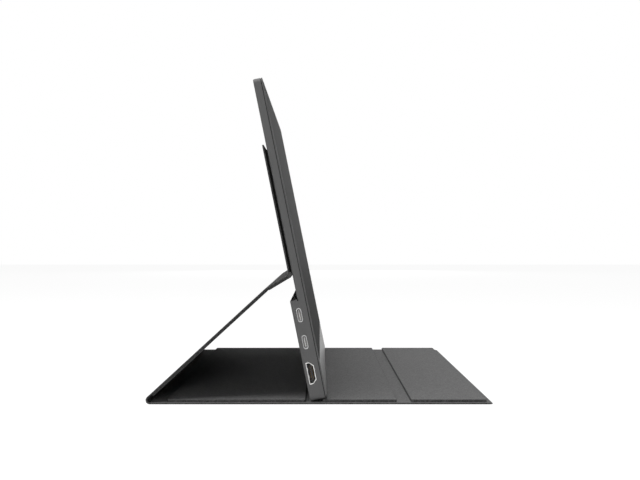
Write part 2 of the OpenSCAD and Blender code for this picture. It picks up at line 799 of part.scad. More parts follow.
base_cloth();
panel_a_board();
panel_a_liner();
panel_b_board();
panel_b_liner();
foot_bend();
flap_bend();
flap_cloth();
flap_board();
flap_liner();
strut_cloth();
strut_board();
strut_liner();
knee_bend();
strip_cloth();
strip_board();
strip_liner();
shoulder_bend();
plate_cloth();
plate_board();
plate_liner();
plate_magnets();
rear_shell();
front_frame();
chin_cover();
screen_film();
display_glass();
diffuser_sheets();
light_guide();
light_strip();
display_tray();
tray_tapes();
display_board();
display_ribbon();
main_board();
board_screws();
shield_can();
keeper_plates();
usb_c_shells();
usb_c_tongues();
hdmi_shell();
hdmi_tongue();
audio_jack();
speakers();
speaker_gaskets();
key_board();
power_switch();
menu_switches();
rocker_pin();
status_light();
power_button();
menu_rocker();
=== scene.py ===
"""Portable monitor that stands in its folding cloth cover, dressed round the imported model.

Sizes are millimetres in the fields of the classes below, and become metres when a piece is placed.
X runs from the foot of the stand to the front flap, Y across the width, Z up.
"""

import logging
import math
from collections.abc import Callable, Iterable
from dataclasses import dataclass, field
from enum import Enum

import bmesh
import bpy
from bmesh.types import BMesh, BMEdge, BMFace, BMVert
from bpy.types import Material, Node, NodeSocket, NodeTree, Object
from mathutils import Matrix, Vector


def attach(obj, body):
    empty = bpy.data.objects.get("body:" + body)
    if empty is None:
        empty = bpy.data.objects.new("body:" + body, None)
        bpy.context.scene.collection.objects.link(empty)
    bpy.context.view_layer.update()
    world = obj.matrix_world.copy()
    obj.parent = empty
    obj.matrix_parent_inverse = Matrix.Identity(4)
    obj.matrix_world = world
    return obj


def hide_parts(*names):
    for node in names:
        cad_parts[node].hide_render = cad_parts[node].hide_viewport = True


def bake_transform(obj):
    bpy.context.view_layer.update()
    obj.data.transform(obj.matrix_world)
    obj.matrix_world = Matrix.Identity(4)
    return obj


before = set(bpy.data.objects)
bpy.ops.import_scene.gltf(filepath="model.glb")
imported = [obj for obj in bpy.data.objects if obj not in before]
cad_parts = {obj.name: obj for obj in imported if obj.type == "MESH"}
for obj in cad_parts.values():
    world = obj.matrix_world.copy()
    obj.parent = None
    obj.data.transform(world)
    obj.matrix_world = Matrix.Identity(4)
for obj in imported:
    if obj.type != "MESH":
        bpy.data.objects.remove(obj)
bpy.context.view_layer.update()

log = logging.getLogger("portable_monitor")
MM = 0.001
CLOTH_UV = "cloth"

Pair = tuple[float, float]
Place = tuple[float, float, float]


# Frames and shapes


@dataclass(frozen=True)
class Side:
    """A frame in the side view, in which each segment of the object is drawn flat.

    X runs along the segment and Z points away from it.
    """

    x: float
    z: float
    angle: float

    def matrix(self) -> Matrix:
        """The step from this frame's millimetres to the object's metres."""
        turn = Matrix.Rotation(math.radians(-self.angle), 4, "Y")
        return Matrix.Scale(MM, 4) @ Matrix.Translation((self.x, 0, self.z)) @ turn

    def point(self, x: float, z: float) -> Vector:
        """A point of this frame, in metres."""
        return self.matrix() @ Vector((x, 0, z))


TABLE = Side(0, 0, 0)
STRUT = Side(-114.8064, 2.8, 42.55)
STRIP = Side(-35.5146, 76.1279, 30.85)
PLATE = Side(-21.0345, 87.5724, 101.5)
MONITOR = Side(5.3064, 3.9979, 11.5)


def draw_out(bm: BMesh, faces: Iterable[BMFace], move: Place) -> list[BMFace]:
    """Extrudes faces.

    Args:
        bm: The mesh that the faces are in.
        faces: The faces to extrude as one region.
        move: How far they move.

    Returns:
        The faces at the far end.
    """
    faces = list(faces)
    buried = buried_by(faces)
    made = bmesh.ops.extrude_face_region(bm, geom=faces)["geom"]
    bmesh.ops.translate(bm, verts=[g for g in made if isinstance(g, BMVert)], vec=move)
    bmesh.ops.delete(bm, geom=buried, context="FACES")
    return [g for g in made if isinstance(g, BMFace)]


def buried_by(faces: list[BMFace]) -> list[BMFace]:
    """The faces that would be left inside a solid when they are drawn out: all, or none of a lone sheet."""
    region = set(faces)
    joined = any(other not in region for face in faces for edge in face.edges for other in edge.link_faces)
    return faces if joined else []


def face_out(bm: BMesh) -> BMesh:
    """Turns a closed mesh's faces outwards and returns it."""
    bmesh.ops.recalc_face_normals(bm, faces=bm.faces)
    return bm


def solid(bm: BMesh, move: Place) -> BMesh:
    """Draws a flat mesh out into a closed solid and returns it."""
    draw_out(bm, bm.faces[:], move)
    return face_out(bm)


def slice_at(bm: BMesh, axis: int, value: float) -> None:
    """Cuts edges into a mesh along the plane where one coordinate has a value."""
    where, normal = [0.0, 0.0, 0.0], [0.0, 0.0, 0.0]
    where[axis], normal[axis] = value, 1.0
    bmesh.ops.bisect_plane(bm, geom=bm.verts[:] + bm.edges[:] + bm.faces[:], plane_co=where, plane_no=normal)


def round_corners(bm: BMesh, verts: Iterable[BMVert], radius: float, steps: int = 6) -> None:
    """Rounds the corners of a flat face.

    Args:
        bm: The mesh that the face is in.
        verts: The corners to round.
        radius: Their radius.
        steps: How many edges each corner takes.
    """
    bmesh.ops.bevel(
        bm, geom=list(verts), offset=radius, offset_type="OFFSET", segments=steps, profile=0.5,
        affect="VERTICES", material=-1,
    )


def soften(bm: BMesh, edges: Iterable[BMEdge], size: float, steps: int = 3) -> None:
    """Rounds edges.

    Args:
        bm: The mesh that the edges are in.
        edges: The edges to round.
        size: The radius.
        steps: How many faces the round takes.
    """
    bmesh.ops.bevel(
        bm, geom=list(edges), offset=size, offset_type="OFFSET", segments=steps, profile=0.5,
        affect="EDGES", material=-1,
    )


def sharp_edges(bm: BMesh, keep: Callable[[BMEdge], bool]) -> list[BMEdge]:
    """Finds the edges where two faces meet at more than 50 degrees.

    Args:
        bm: The mesh to look through.
        keep: A further test that an edge has to pass.

    Returns:
        The edges found.
    """
    return [e for e in bm.edges if len(e.link_faces) == 2 and e.calc_face_angle() > 0.87 and keep(e)]


def level(edge: BMEdge, axis: int, value: float) -> bool:
    """True if an edge lies in the plane where one coordinate has a value."""
    return all(abs(v.co[axis] - value) < 1e-4 for v in edge.verts)


def outline(
    width: float, height: float, corner: float, at: Place, normal: str = "Z", steps: int = 6
) -> BMesh:
    """One flat face with rounded corners.

    Args:
        width: Its size along the first axis of its plane.
        height: Its size along the second.
        corner: The radius of its corners.
        at: Its middle.
        normal: The axis that it faces: Z for a plan, X for a front view, Y for a side view.
        steps: How many edges each corner takes.

    Returns:
        A mesh with that face.
    """
    turns = {
        "Z": Matrix.Identity(4),
        "X": Matrix(((0, 0, 1, 0), (1, 0, 0, 0), (0, 1, 0, 0), (0, 0, 0, 1))),
        "Y": Matrix(((1, 0, 0, 0), (0, 0, -1, 0), (0, 1, 0, 0), (0, 0, 0, 1))),
    }
    bm = bmesh.new()
    place = Matrix.Translation(at) @ turns[normal] @ Matrix.Diagonal((width, height, 1, 1))
    bmesh.ops.create_grid(bm, x_segments=1, y_segments=1, size=0.5, matrix=place)
    if corner:
        round_corners(bm, bm.verts, corner, steps)
        # the ends of a slot meet in edges too short to bevel
        bmesh.ops.remove_doubles(bm, verts=bm.verts, dist=0.01)
    return bm


def add_mesh(bm: BMesh, other: BMesh) -> None:
    """Adds a second mesh to the first and frees it."""
    spare = bpy.data.meshes.new("spare")
    other.to_mesh(spare)
    other.free()
    bm.from_mesh(spare)
    bpy.data.meshes.remove(spare)


def cut(bm: BMesh, tool: BMesh) -> BMesh:
    """Takes one closed mesh away from another.

    Args:
        bm: The mesh that is cut, which is freed.
        tool: The mesh that cuts, which is freed.

    Returns:
        What is left of the first mesh.
    """
    both = []
    for name, part in (("cut_body", bm), ("cut_tool", tool)):
        face_out(part)
        mesh = bpy.data.meshes.new(name)
        part.to_mesh(mesh)
        part.free()
        both.append(bpy.data.objects.new(name, mesh))
        bpy.context.scene.collection.objects.link(both[-1])
    body, cutter = both
    modifier = body.modifiers.new("cut", "BOOLEAN")
    modifier.operation, modifier.solver, modifier.object = "DIFFERENCE", "EXACT", cutter
    bpy.context.view_layer.update()
    left = bmesh.new()
    left.from_object(body, bpy.context.evaluated_depsgraph_get())
    for old in both:
        mesh = old.data
        bpy.data.objects.remove(old)
        bpy.data.meshes.remove(mesh)
    bmesh.ops.remove_doubles(left, verts=left.verts, dist=1e-4)
    return left


def lay_uv(bm: BMesh, start: float = 0.0) -> None:
    """Lays the cloth's own map on a mesh in millimetres, so that the weave follows it round every edge.

    Args:
        bm: The mesh, still in its own flat frame.
        start: The length of cloth before this piece. A vertex layer named run, where there is one, gives
            the length along the cloth at each vertex in place of X.
    """
    uv = bm.loops.layers.uv.new(CLOTH_UV)
    run = bm.verts.layers.float.get("run")
    for face in bm.faces:
        normal = face.normal
        across = abs(normal.y) > 0.7
        for loop in face.loops:
            at = loop.vert.co
            along = start + (loop.vert[run] if run else at.x)
            if not run and abs(normal.x) > 0.7:
                loop[uv].uv = (start + at.z, at.y)
            elif across:
                loop[uv].uv = (along, math.copysign(400, normal.y) + at.z)
            else:
                loop[uv].uv = (along, at.y)


class Sweep:
    """A strip of cloth that is laid along a side view, flat and round its folds."""

    def __init__(self, width: float, z: Pair, soft: float, x: float) -> None:
        """Starts with the strip's end face.

        Args:
            width: The strip's width, centred on Y = 0.
            z: Its lower and upper face.
            soft: The radius of its long edges.
            x: Where it starts.
        """
        self.bm = outline(width, z[1] - z[0], soft, (x, 0, (z[0] + z[1]) / 2), "X", 3)
        self.run = self.bm.verts.layers.float.new("run")
        self.end = self.bm.faces[:]
        self.length = 0.0

    def _mark(self, step: float) -> None:
        """Writes the length so far at the strip's end."""
        self.length += step
        for face in self.end:
            for vert in face.verts:
                vert[self.run] = self.length

    def straight(self, direction: float, length: float, steps: int) -> "Sweep":
        """Lays a straight stretch.

        Args:
            direction: Its angle above the X axis, in degrees.
            length: Its length.
            steps: How many faces it takes.

        Returns:
            The sweep itself.
        """
        turn = math.radians(direction)
        step = length / steps
        for _ in range(steps):
            self.end = draw_out(self.bm, self.end, (step * math.cos(turn), 0, step * math.sin(turn)))
            self._mark(step)
        return self

    def turn(self, hinge: Pair, angle: float, radius: float, steps: int) -> "Sweep":
        """Lays a fold.

        Args:
            hinge: Where the fold turns, in the side view.
            angle: How far, in degrees, up from X towards Z.
            radius: The radius at which its length is counted.
            steps: How many faces it takes.

        Returns:
            The sweep itself.
        """
        part = math.radians(angle) / steps
        for _ in range(steps):
            buried = buried_by(self.end)
            made = bmesh.ops.spin(
                self.bm, geom=self.end, cent=(hinge[0], 0, hinge[1]), axis=(0, -1, 0), dvec=(0, 0, 0),
                angle=part, steps=1, use_merge=False, use_normal_flip=False, use_duplicate=False,
            )["geom_last"]
            bmesh.ops.delete(self.bm, geom=buried, context="FACES")
            self.end = [g for g in made if isinstance(g, BMFace)]
            self._mark(abs(part) * radius)
        return self

    def done(self) -> BMesh:
        """Closes the strip and returns its mesh."""
        return face_out(self.bm)


def tube(loops: list[tuple[Pair, Pair, float, float]]) -> BMesh:
    """A closed wall round a window, bridged from one rounded rectangle to the next.

    Args:
        loops: For each loop, its width and height, its middle, its corner radius and its depth X.

    Returns:
        The mesh, in the front view's plane with depth along X.
    """
    bm = bmesh.new()
    apart = 10.0
    # the loops lie apart while they are bridged, so that each meets its neighbour squarely
    for number, ((width, height), (y, z), corner, _) in enumerate(loops):
        add_mesh(bm, outline(width, height, corner, (number * apart, y, z), "X"))
    bmesh.ops.delete(bm, geom=bm.faces[:], context="FACES_ONLY")
    rings = [[e for e in bm.edges if level(e, 0, number * apart)] for number in range(len(loops))]
    verts = [list({v for e in ring for v in e.verts}) for ring in rings]
    for one, two in zip(rings, rings[1:] + rings[:1]):
        bmesh.ops.bridge_loops(bm, edges=one + two)
    for number, (ring, loop) in enumerate(zip(verts, loops)):
        bmesh.ops.translate(bm, verts=ring, vec=(loop[3] - number * apart, 0, 0))
    return face_out(bm)


def make_piece(name: str, bm: BMesh, place: Matrix, finish: Material, crisp: bool = True) -> Object:
    """Makes a mesh an object at the origin, with its place in its mesh.

    Args:
        name: The piece's name.
        bm: Its mesh in millimetres, which is freed.
        place: The step to the object's metres.
        finish: Its material.
        crisp: True for hard pieces, whose flat faces stay flat beside their rounded edges.

    Returns:
        The object.
    """
    bmesh.ops.transform(bm, matrix=place, verts=bm.verts)
    mesh = bpy.data.meshes.new(name)
    bm.to_mesh(mesh)
    bm.free()
    mesh.shade_smooth()
    mesh.set_sharp_from_angle(angle=math.radians(42))
    mesh.materials.append(finish)
    piece = bpy.data.objects.new(name, mesh)
    bpy.context.scene.collection.objects.link(piece)
    if crisp:
        piece.modifiers.new("even light", "WEIGHTED_NORMAL").keep_sharp = True
    return piece


def settle(piece: Object, body: str, slot: str, node: str) -> Object:
    """Makes a piece ride on a body and stand for its node, and reports it with its slot.

    Args:
        piece: The finished piece.
        body: The body that it rides on.
        slot: The record's material slot.
        node: The node that it stands for.

    Returns:
        The piece.
    """
    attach(piece, body)
    return enter(piece, slot, node)


def enter(piece: Object, slot: str, node: str) -> Object:
    """Hides the node that a piece stands for, and reports the piece with its slot."""
    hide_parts(node)
    log.info("%s: %d faces, slot %s, stands for %s", piece.name, len(piece.data.polygons), slot, node)
    return piece


def mount(name: str, bm: BMesh, looks: list[Material], slot: str, node: str, body: str = "monitor") -> None:
    """Makes a piece of the monitor, in the monitor's own leaning frame.

    Args:
        name: The piece's name.
        bm: Its mesh in millimetres.
        looks: Its materials, in the order of its faces' indices.
        slot: The record's material slot.
        node: The node that it stands for.
        body: The body that it rides on.
    """
    piece = make_piece(name, bm, MONITOR.matrix(), looks[0])
    for look in looks[1:]:
        piece.data.materials.append(look)
    settle(piece, body, slot, node)


# Finishes


def linear(colour: str) -> tuple[float, float, float, float]:
    """Turns an sRGB hex colour to the linear values that a shader reads."""
    parts = [int(colour[i : i + 2], 16) / 255 for i in (1, 3, 5)]
    r, g, b = [p / 12.92 if p <= 0.04045 else ((p + 0.055) / 1.055) ** 2.4 for p in parts]
    return r, g, b, 1.0


def add(tree: NodeTree, kind: str, inputs: dict | None = None, **settings) -> Node:
    """Adds a node with its settings and links.

    Args:
        tree: The tree that gets it.
        kind: The node's type.
        inputs: For each input's name or number, the socket it is linked to or its value.
        **settings: The node's own settings.

    Returns:
        The node.
    """
    made = tree.nodes.new(kind)
    for key, value in settings.items():
        setattr(made, key, value)
    for key, value in (inputs or {}).items():
        if isinstance(value, NodeSocket):
            tree.links.new(value, made.inputs[key])
        else:
            made.inputs[key].default_value = value
    return made


def start_material(name: str) -> tuple[Material, NodeTree, Node]:
    """A new material with its tree and its Principled shader."""
    material = bpy.data.materials.new(name)
    material.use_nodes = True
    shader = material.node_tree.nodes["Principled BSDF"]
    return material, material.node_tree, shader


@dataclass(frozen=True)
class WovenCloth:
    """Plain-woven polyester: matt, with a speckle of lighter and darker threads.

    The real threads are about 0.3 mm wide, too fine to show, so they are drawn thread_mm wide.
    """

    name: str
    yarn: str
    light_yarn: str
    dark_yarn: str
    thread_mm: float = 0.8
    mottle_mm: float = 5.0
    relief_mm: float = 0.2
    roughness: float = 0.92

    def build(self) -> Material:
        """Makes the material from the cloth's own map, whose unit is a millimetre."""
        material, tree, shader = start_material(self.name)
        laid = add(tree, "ShaderNodeUVMap", uv_map=CLOTH_UV).outputs["UV"]
        per_mm = 1 / self.thread_mm
        threads = add(tree, "ShaderNodeVectorMath", {0: laid, 3: per_mm}, operation="SCALE").outputs[0]
        # each crossing of two threads has its own shade
        cell = add(tree, "ShaderNodeVectorMath", {0: threads}, operation="FLOOR").outputs[0]
        shade = add(tree, "ShaderNodeTexWhiteNoise", {"Vector": cell}, noise_dimensions="3D").outputs["Value"]
        mottle = add(
            tree, "ShaderNodeTexNoise",
            {"Vector": laid, "Scale": 1 / self.mottle_mm, "Detail": 3.0, "Roughness": 0.6},
        ).outputs["Fac"]
        spread = {"Value": mottle, 1: 0.3, 2: 0.7, 3: -0.12, 4: 0.12}
        mixed = add(tree, "ShaderNodeMapRange", spread).outputs[0]
        tone = add(tree, "ShaderNodeMath", {0: shade, 1: mixed}, operation="ADD").outputs[0]
        ramp = add(tree, "ShaderNodeValToRGB", {"Fac": tone})
        stops = ramp.color_ramp.elements
        stops[0].position, stops[0].color = 0.05, linear(self.dark_yarn)
        stops[1].position, stops[1].color = 0.97, linear(self.light_yarn)
        for position in (0.3, 0.8):
            stops.new(position).color = linear(self.yarn)
        tree.links.new(ramp.outputs["Color"], shader.inputs["Base Color"])
        # warp and weft rise and dip in turn
        split = add(tree, "ShaderNodeSeparateXYZ", {0: threads})
        waves = []
        for axis in ("X", "Y"):
            half_turns = {0: split.outputs[axis], 1: math.pi}
            turned = add(tree, "ShaderNodeMath", half_turns, operation="MULTIPLY").outputs[0]
            waves.append(add(tree, "ShaderNodeMath", {0: turned}, operation="SINE").outputs[0])
        weave = add(tree, "ShaderNodeMath", {0: waves[0], 1: waves[1]}, operation="MULTIPLY").outputs[0]
        relief = {"Strength": 0.7, "Distance": self.relief_mm * MM, "Height": weave}
        bump = add(tree, "ShaderNodeBump", relief)
        tree.links.new(bump.outputs[0], shader.inputs["Normal"])
        shader.inputs["Roughness"].default_value = self.roughness
        shader.inputs["Specular IOR Level"].default_value = 0.1
        shader.inputs["Sheen Weight"].default_value = 0.04
        shader.inputs["Sheen Roughness"].default_value = 0.5
        return material


class Grain(Enum):
    """The way that a surface was made, as its pattern shows it."""

    MOULDED = "moulded"
    BRUSHED = "brushed"
    FIBRES = "fibres"
    TRACKS = "tracks"


@dataclass(frozen=True)
class Finish:
    """One hard material: its colours, its gloss and the pattern of how it was made."""

    name: str
    colour: str
    second: str
    grain: Grain = Grain.MOULDED
    grain_mm: float = 0.6
    roughness: float = 0.5
    spread: float = 0.08
    metallic: float = 0.0
    relief_mm: float = 0.01
    specular: float = 0.5
    ior: float = 1.5
    see_through: float = 0.0

    def build(self) -> Material:
        """Makes the material on object coordinates, whose unit is a metre."""
        material, tree, shader = start_material(self.name)
        place = add(tree, "ShaderNodeTexCoord").outputs["Object"]
        stretch = {Grain.BRUSHED: (1, 0.02, 1), Grain.FIBRES: (1, 0.25, 1)}.get(self.grain, (1, 1, 1))
        scaled = add(tree, "ShaderNodeMapping", {"Vector": place, "Scale": stretch}).outputs[0]
        sized = {"Vector": scaled, "Scale": 1 / (self.grain_mm * MM)}
        if self.grain is Grain.TRACKS:
            cells = add(tree, "ShaderNodeTexVoronoi", {**sized, "Randomness": 0.6}, distance="MANHATTAN")
            pattern = cells.outputs["Distance"]
        else:
            noise = add(tree, "ShaderNodeTexNoise", {**sized, "Detail": 4.0, "Roughness": 0.6})
            pattern = noise.outputs["Fac"]
        ramp = add(tree, "ShaderNodeValToRGB", {"Fac": pattern})
        stops = ramp.color_ramp.elements
        stops[0].position, stops[0].color = 0.35, linear(self.second)
        stops[1].position, stops[1].color = 0.65, linear(self.colour)
        tree.links.new(ramp.outputs["Color"], shader.inputs["Base Color"])
        rough, smooth = self.roughness + self.spread, self.roughness - self.spread
        gloss = add(tree, "ShaderNodeMapRange", {"Value": pattern, 1: 0.3, 2: 0.7, 3: rough, 4: smooth})
        tree.links.new(gloss.outputs[0], shader.inputs["Roughness"])
        relief = {"Strength": 0.6, "Distance": self.relief_mm * MM, "Height": pattern}
        bump = add(tree, "ShaderNodeBump", relief)
        tree.links.new(bump.outputs[0], shader.inputs["Normal"])
        shader.inputs["Metallic"].default_value = self.metallic
        if not self.metallic:
            shader.inputs["IOR"].default_value = self.ior
            shader.inputs["Specular IOR Level"].default_value = self.specular
        if self.see_through:
            shader.inputs["Transmission Weight"].default_value = self.see_through
        return material


# The finishes of this monitor and its cover, with what each gives the eye.
OUTER_CLOTH = WovenCloth("woven polyester, outer", "#474747", "#565656", "#393939")
LINING_CLOTH = WovenCloth("woven polyester, lining", "#707070", "#7c7c7c", "#636363")
# painted shade: the sides of each board's lining are coloured darker than its top, for the light that they
# lose
SHADED_EDGE_CLOTH = WovenCloth("woven polyester, pressed edge", "#4c4c4c", "#5e5e5e", "#3a3a3a")
# painted shadow: the plate's edge lies in the slit behind the monitor, so the sides of its lining are
# coloured near black for the shadow there
SLIT_SHADOW_CLOTH = WovenCloth("woven polyester, painted slit shadow", "#151515", "#1d1d1d", "#0e0e0e")
FIBREBOARD = Finish("pressed fibreboard", "#a89a80", "#8d7f66", Grain.FIBRES, 1.2, 0.85, 0.05, relief_mm=0.05)
# spark-textured ABS: satin, with a fine even grain
HOUSING_ABS = Finish(
    "moulded ABS, satin", "#666666", "#606060", grain_mm=0.35, roughness=0.5, relief_mm=0.006, specular=0.15
)
# satin-coated polycarbonate: smoother than the housing, so it takes a soft sheen at a flat angle
CHIN_COAT = Finish(
    "coated polycarbonate, satin", "#626262", "#5d5d5d", grain_mm=0.3, roughness=0.38, relief_mm=0.003
)
KEY_ABS = Finish("moulded ABS, keys", "#4a4a4a", "#454545", grain_mm=0.3, roughness=0.45, relief_mm=0.004)
NICKEL = Finish(
    "nickel-plated steel", "#e0e0de", "#d0d0ce", grain_mm=0.4, roughness=0.28, metallic=1.0, relief_mm=0.002
)
# bead-blasted steel spreads its reflection, so the USB-C sleeves read as an even light grey
BLASTED_STEEL = Finish("bead-blasted steel", "#b4b4b4", "#a6a6a6", grain_mm=0.3, roughness=0.5, metallic=1.0)
BRUSHED_STEEL = Finish(
    "rolled steel", "#b9bbbd", "#a3a5a8", Grain.BRUSHED, 0.2, 0.38, metallic=1.0, relief_mm=0.003
)
GOLD_PLATE = Finish("gold-plated bronze", "#d6a546", "#c2923a", grain_mm=0.3, roughness=0.3, metallic=1.0)
TONGUE_NYLON = Finish("moulded nylon, grey", "#cfcfcf", "#c4c4c4", grain_mm=0.3, roughness=0.45)
BLACK_NYLON = Finish("moulded nylon, black", "#1d1d1e", "#161617", grain_mm=0.4, roughness=0.5)
PANEL_GLASS = Finish(
    "display glass", "#0c0d0f", "#101114", grain_mm=3.0, roughness=0.12, spread=0.02, ior=1.52
)
DIFFUSER = Finish("frosted polyester sheet", "#eceeee", "#e2e5e6", grain_mm=0.5, roughness=0.6)
ACRYLIC = Finish(
    "acrylic light guide", "#e6edef", "#dfe8ea", grain_mm=1.5, roughness=0.2, ior=1.49, see_through=0.6
)
LIGHT_PIPE = Finish(
    "clear acrylic pipe", "#e9eceb", "#dde1e0", grain_mm=1.0, roughness=0.25, ior=1.49, see_through=0.5
)
LED_STRIP = Finish("white circuit strip", "#e8dfae", "#f1ead0", Grain.TRACKS, 6.0, 0.45)
SOLDER_MASK = Finish("green solder mask", "#1f5b3a", "#2f7a50", Grain.TRACKS, 2.2, 0.35, relief_mm=0.03)
POLYIMIDE = Finish("polyimide film", "#a8612a", "#8f4f20", Grain.BRUSHED, 0.8, 0.35)
FOAM = Finish("closed-cell foam", "#2b2b2c", "#1c1c1d", grain_mm=0.7, roughness=0.9, relief_mm=0.08)


@dataclass(frozen=True)
class ScreenFilm:
    """Anti-glare film over a dark display, with the printed border round the picture area."""

    name: str = "anti-glare film"
    picture: str = "#1e1e1e"
    border: str = "#111111"
    side_border: float = 5.7
    top_border: float = 3.4
    grit_mm: float = 0.12
    width: float = 355.6
    height: float = 222.0

    def build(self) -> Material:
        """Makes the material in the screen's own plane, turned there by a mapping."""
        material, tree, shader = start_material(self.name)
        place = add(tree, "ShaderNodeTexCoord").outputs["Object"]
        centred = add(
            tree, "ShaderNodeMapping", {"Vector": place, "Location": (-MONITOR.x * MM, 0, -MONITOR.z * MM)}
        ).outputs[0]
        upright = add(
            tree, "ShaderNodeMapping", {"Vector": centred, "Rotation": (0, math.radians(MONITOR.angle), 0)}
        ).outputs[0]
        at = add(tree, "ShaderNodeSeparateXYZ", {0: upright})
        across = add(tree, "ShaderNodeMath", {0: at.outputs["Y"]}, operation="ABSOLUTE").outputs[0]
        edge_y = (self.width / 2 - self.side_border) * MM
        edge_z = (self.height - self.top_border) * MM
        off_side = add(tree, "ShaderNodeMath", {0: across, 1: edge_y}, operation="GREATER_THAN").outputs[0]
        height = {0: at.outputs["Z"], 1: edge_z}
        off_top = add(tree, "ShaderNodeMath", height, operation="GREATER_THAN").outputs[0]
        off = add(tree, "ShaderNodeMath", {0: off_side, 1: off_top}, operation="MAXIMUM").outputs[0]
        shades = {"Factor": off, 6: linear(self.picture), 7: linear(self.border)}
        colour = add(tree, "ShaderNodeMix", shades, data_type="RGBA").outputs[2]
        tree.links.new(colour, shader.inputs["Base Color"])
        grit = add(
            tree, "ShaderNodeTexNoise", {"Vector": place, "Scale": 1 / (self.grit_mm * MM), "Detail": 2.0}
        ).outputs["Fac"]
        bump = add(tree, "ShaderNodeBump", {"Strength": 0.3, "Distance": 0.002 * MM, "Height": grit})
        tree.links.new(bump.outputs[0], shader.inputs["Normal"])
        gloss = add(tree, "ShaderNodeMapRange", {"Value": grit, 3: 0.62, 4: 0.54}).outputs[0]
        tree.links.new(gloss, shader.inputs["Roughness"])
        shader.inputs["Specular IOR Level"].default_value = 0.01
        return material


@dataclass
class Finishes:
    """Every material, built once."""

    cloth: Material = field(default_factory=OUTER_CLOTH.build)
    lining: Material = field(default_factory=LINING_CLOTH.build)
    shaded: Material = field(default_factory=SHADED_EDGE_CLOTH.build)
    slit_shadow: Material = field(default_factory=SLIT_SHADOW_CLOTH.build)
    board: Material = field(default_factory=FIBREBOARD.build)
    housing: Material = field(default_factory=HOUSING_ABS.build)
    chin: Material = field(default_factory=CHIN_COAT.build)
    keys: Material = field(default_factory=KEY_ABS.build)
    screen: Material = field(default_factory=ScreenFilm().build)
    nickel: Material = field(default_factory=NICKEL.build)
    blasted: Material = field(default_factory=BLASTED_STEEL.build)
    steel: Material = field(default_factory=BRUSHED_STEEL.build)
    gold: Material = field(default_factory=GOLD_PLATE.build)
    tongue: Material = field(default_factory=TONGUE_NYLON.build)
    nylon: Material = field(default_factory=BLACK_NYLON.build)
    glass: Material = field(default_factory=PANEL_GLASS.build)
    diffuser: Material = field(default_factory=DIFFUSER.build)
    acrylic: Material = field(default_factory=ACRYLIC.build)
    pipe: Material = field(default_factory=LIGHT_PIPE.build)
    light_strip: Material = field(default_factory=LED_STRIP.build)
    circuit: Material = field(default_factory=SOLDER_MASK.build)
    ribbon: Material = field(default_factory=POLYIMIDE.build)
    foam: Material = field(default_factory=FOAM.build)


# Cover


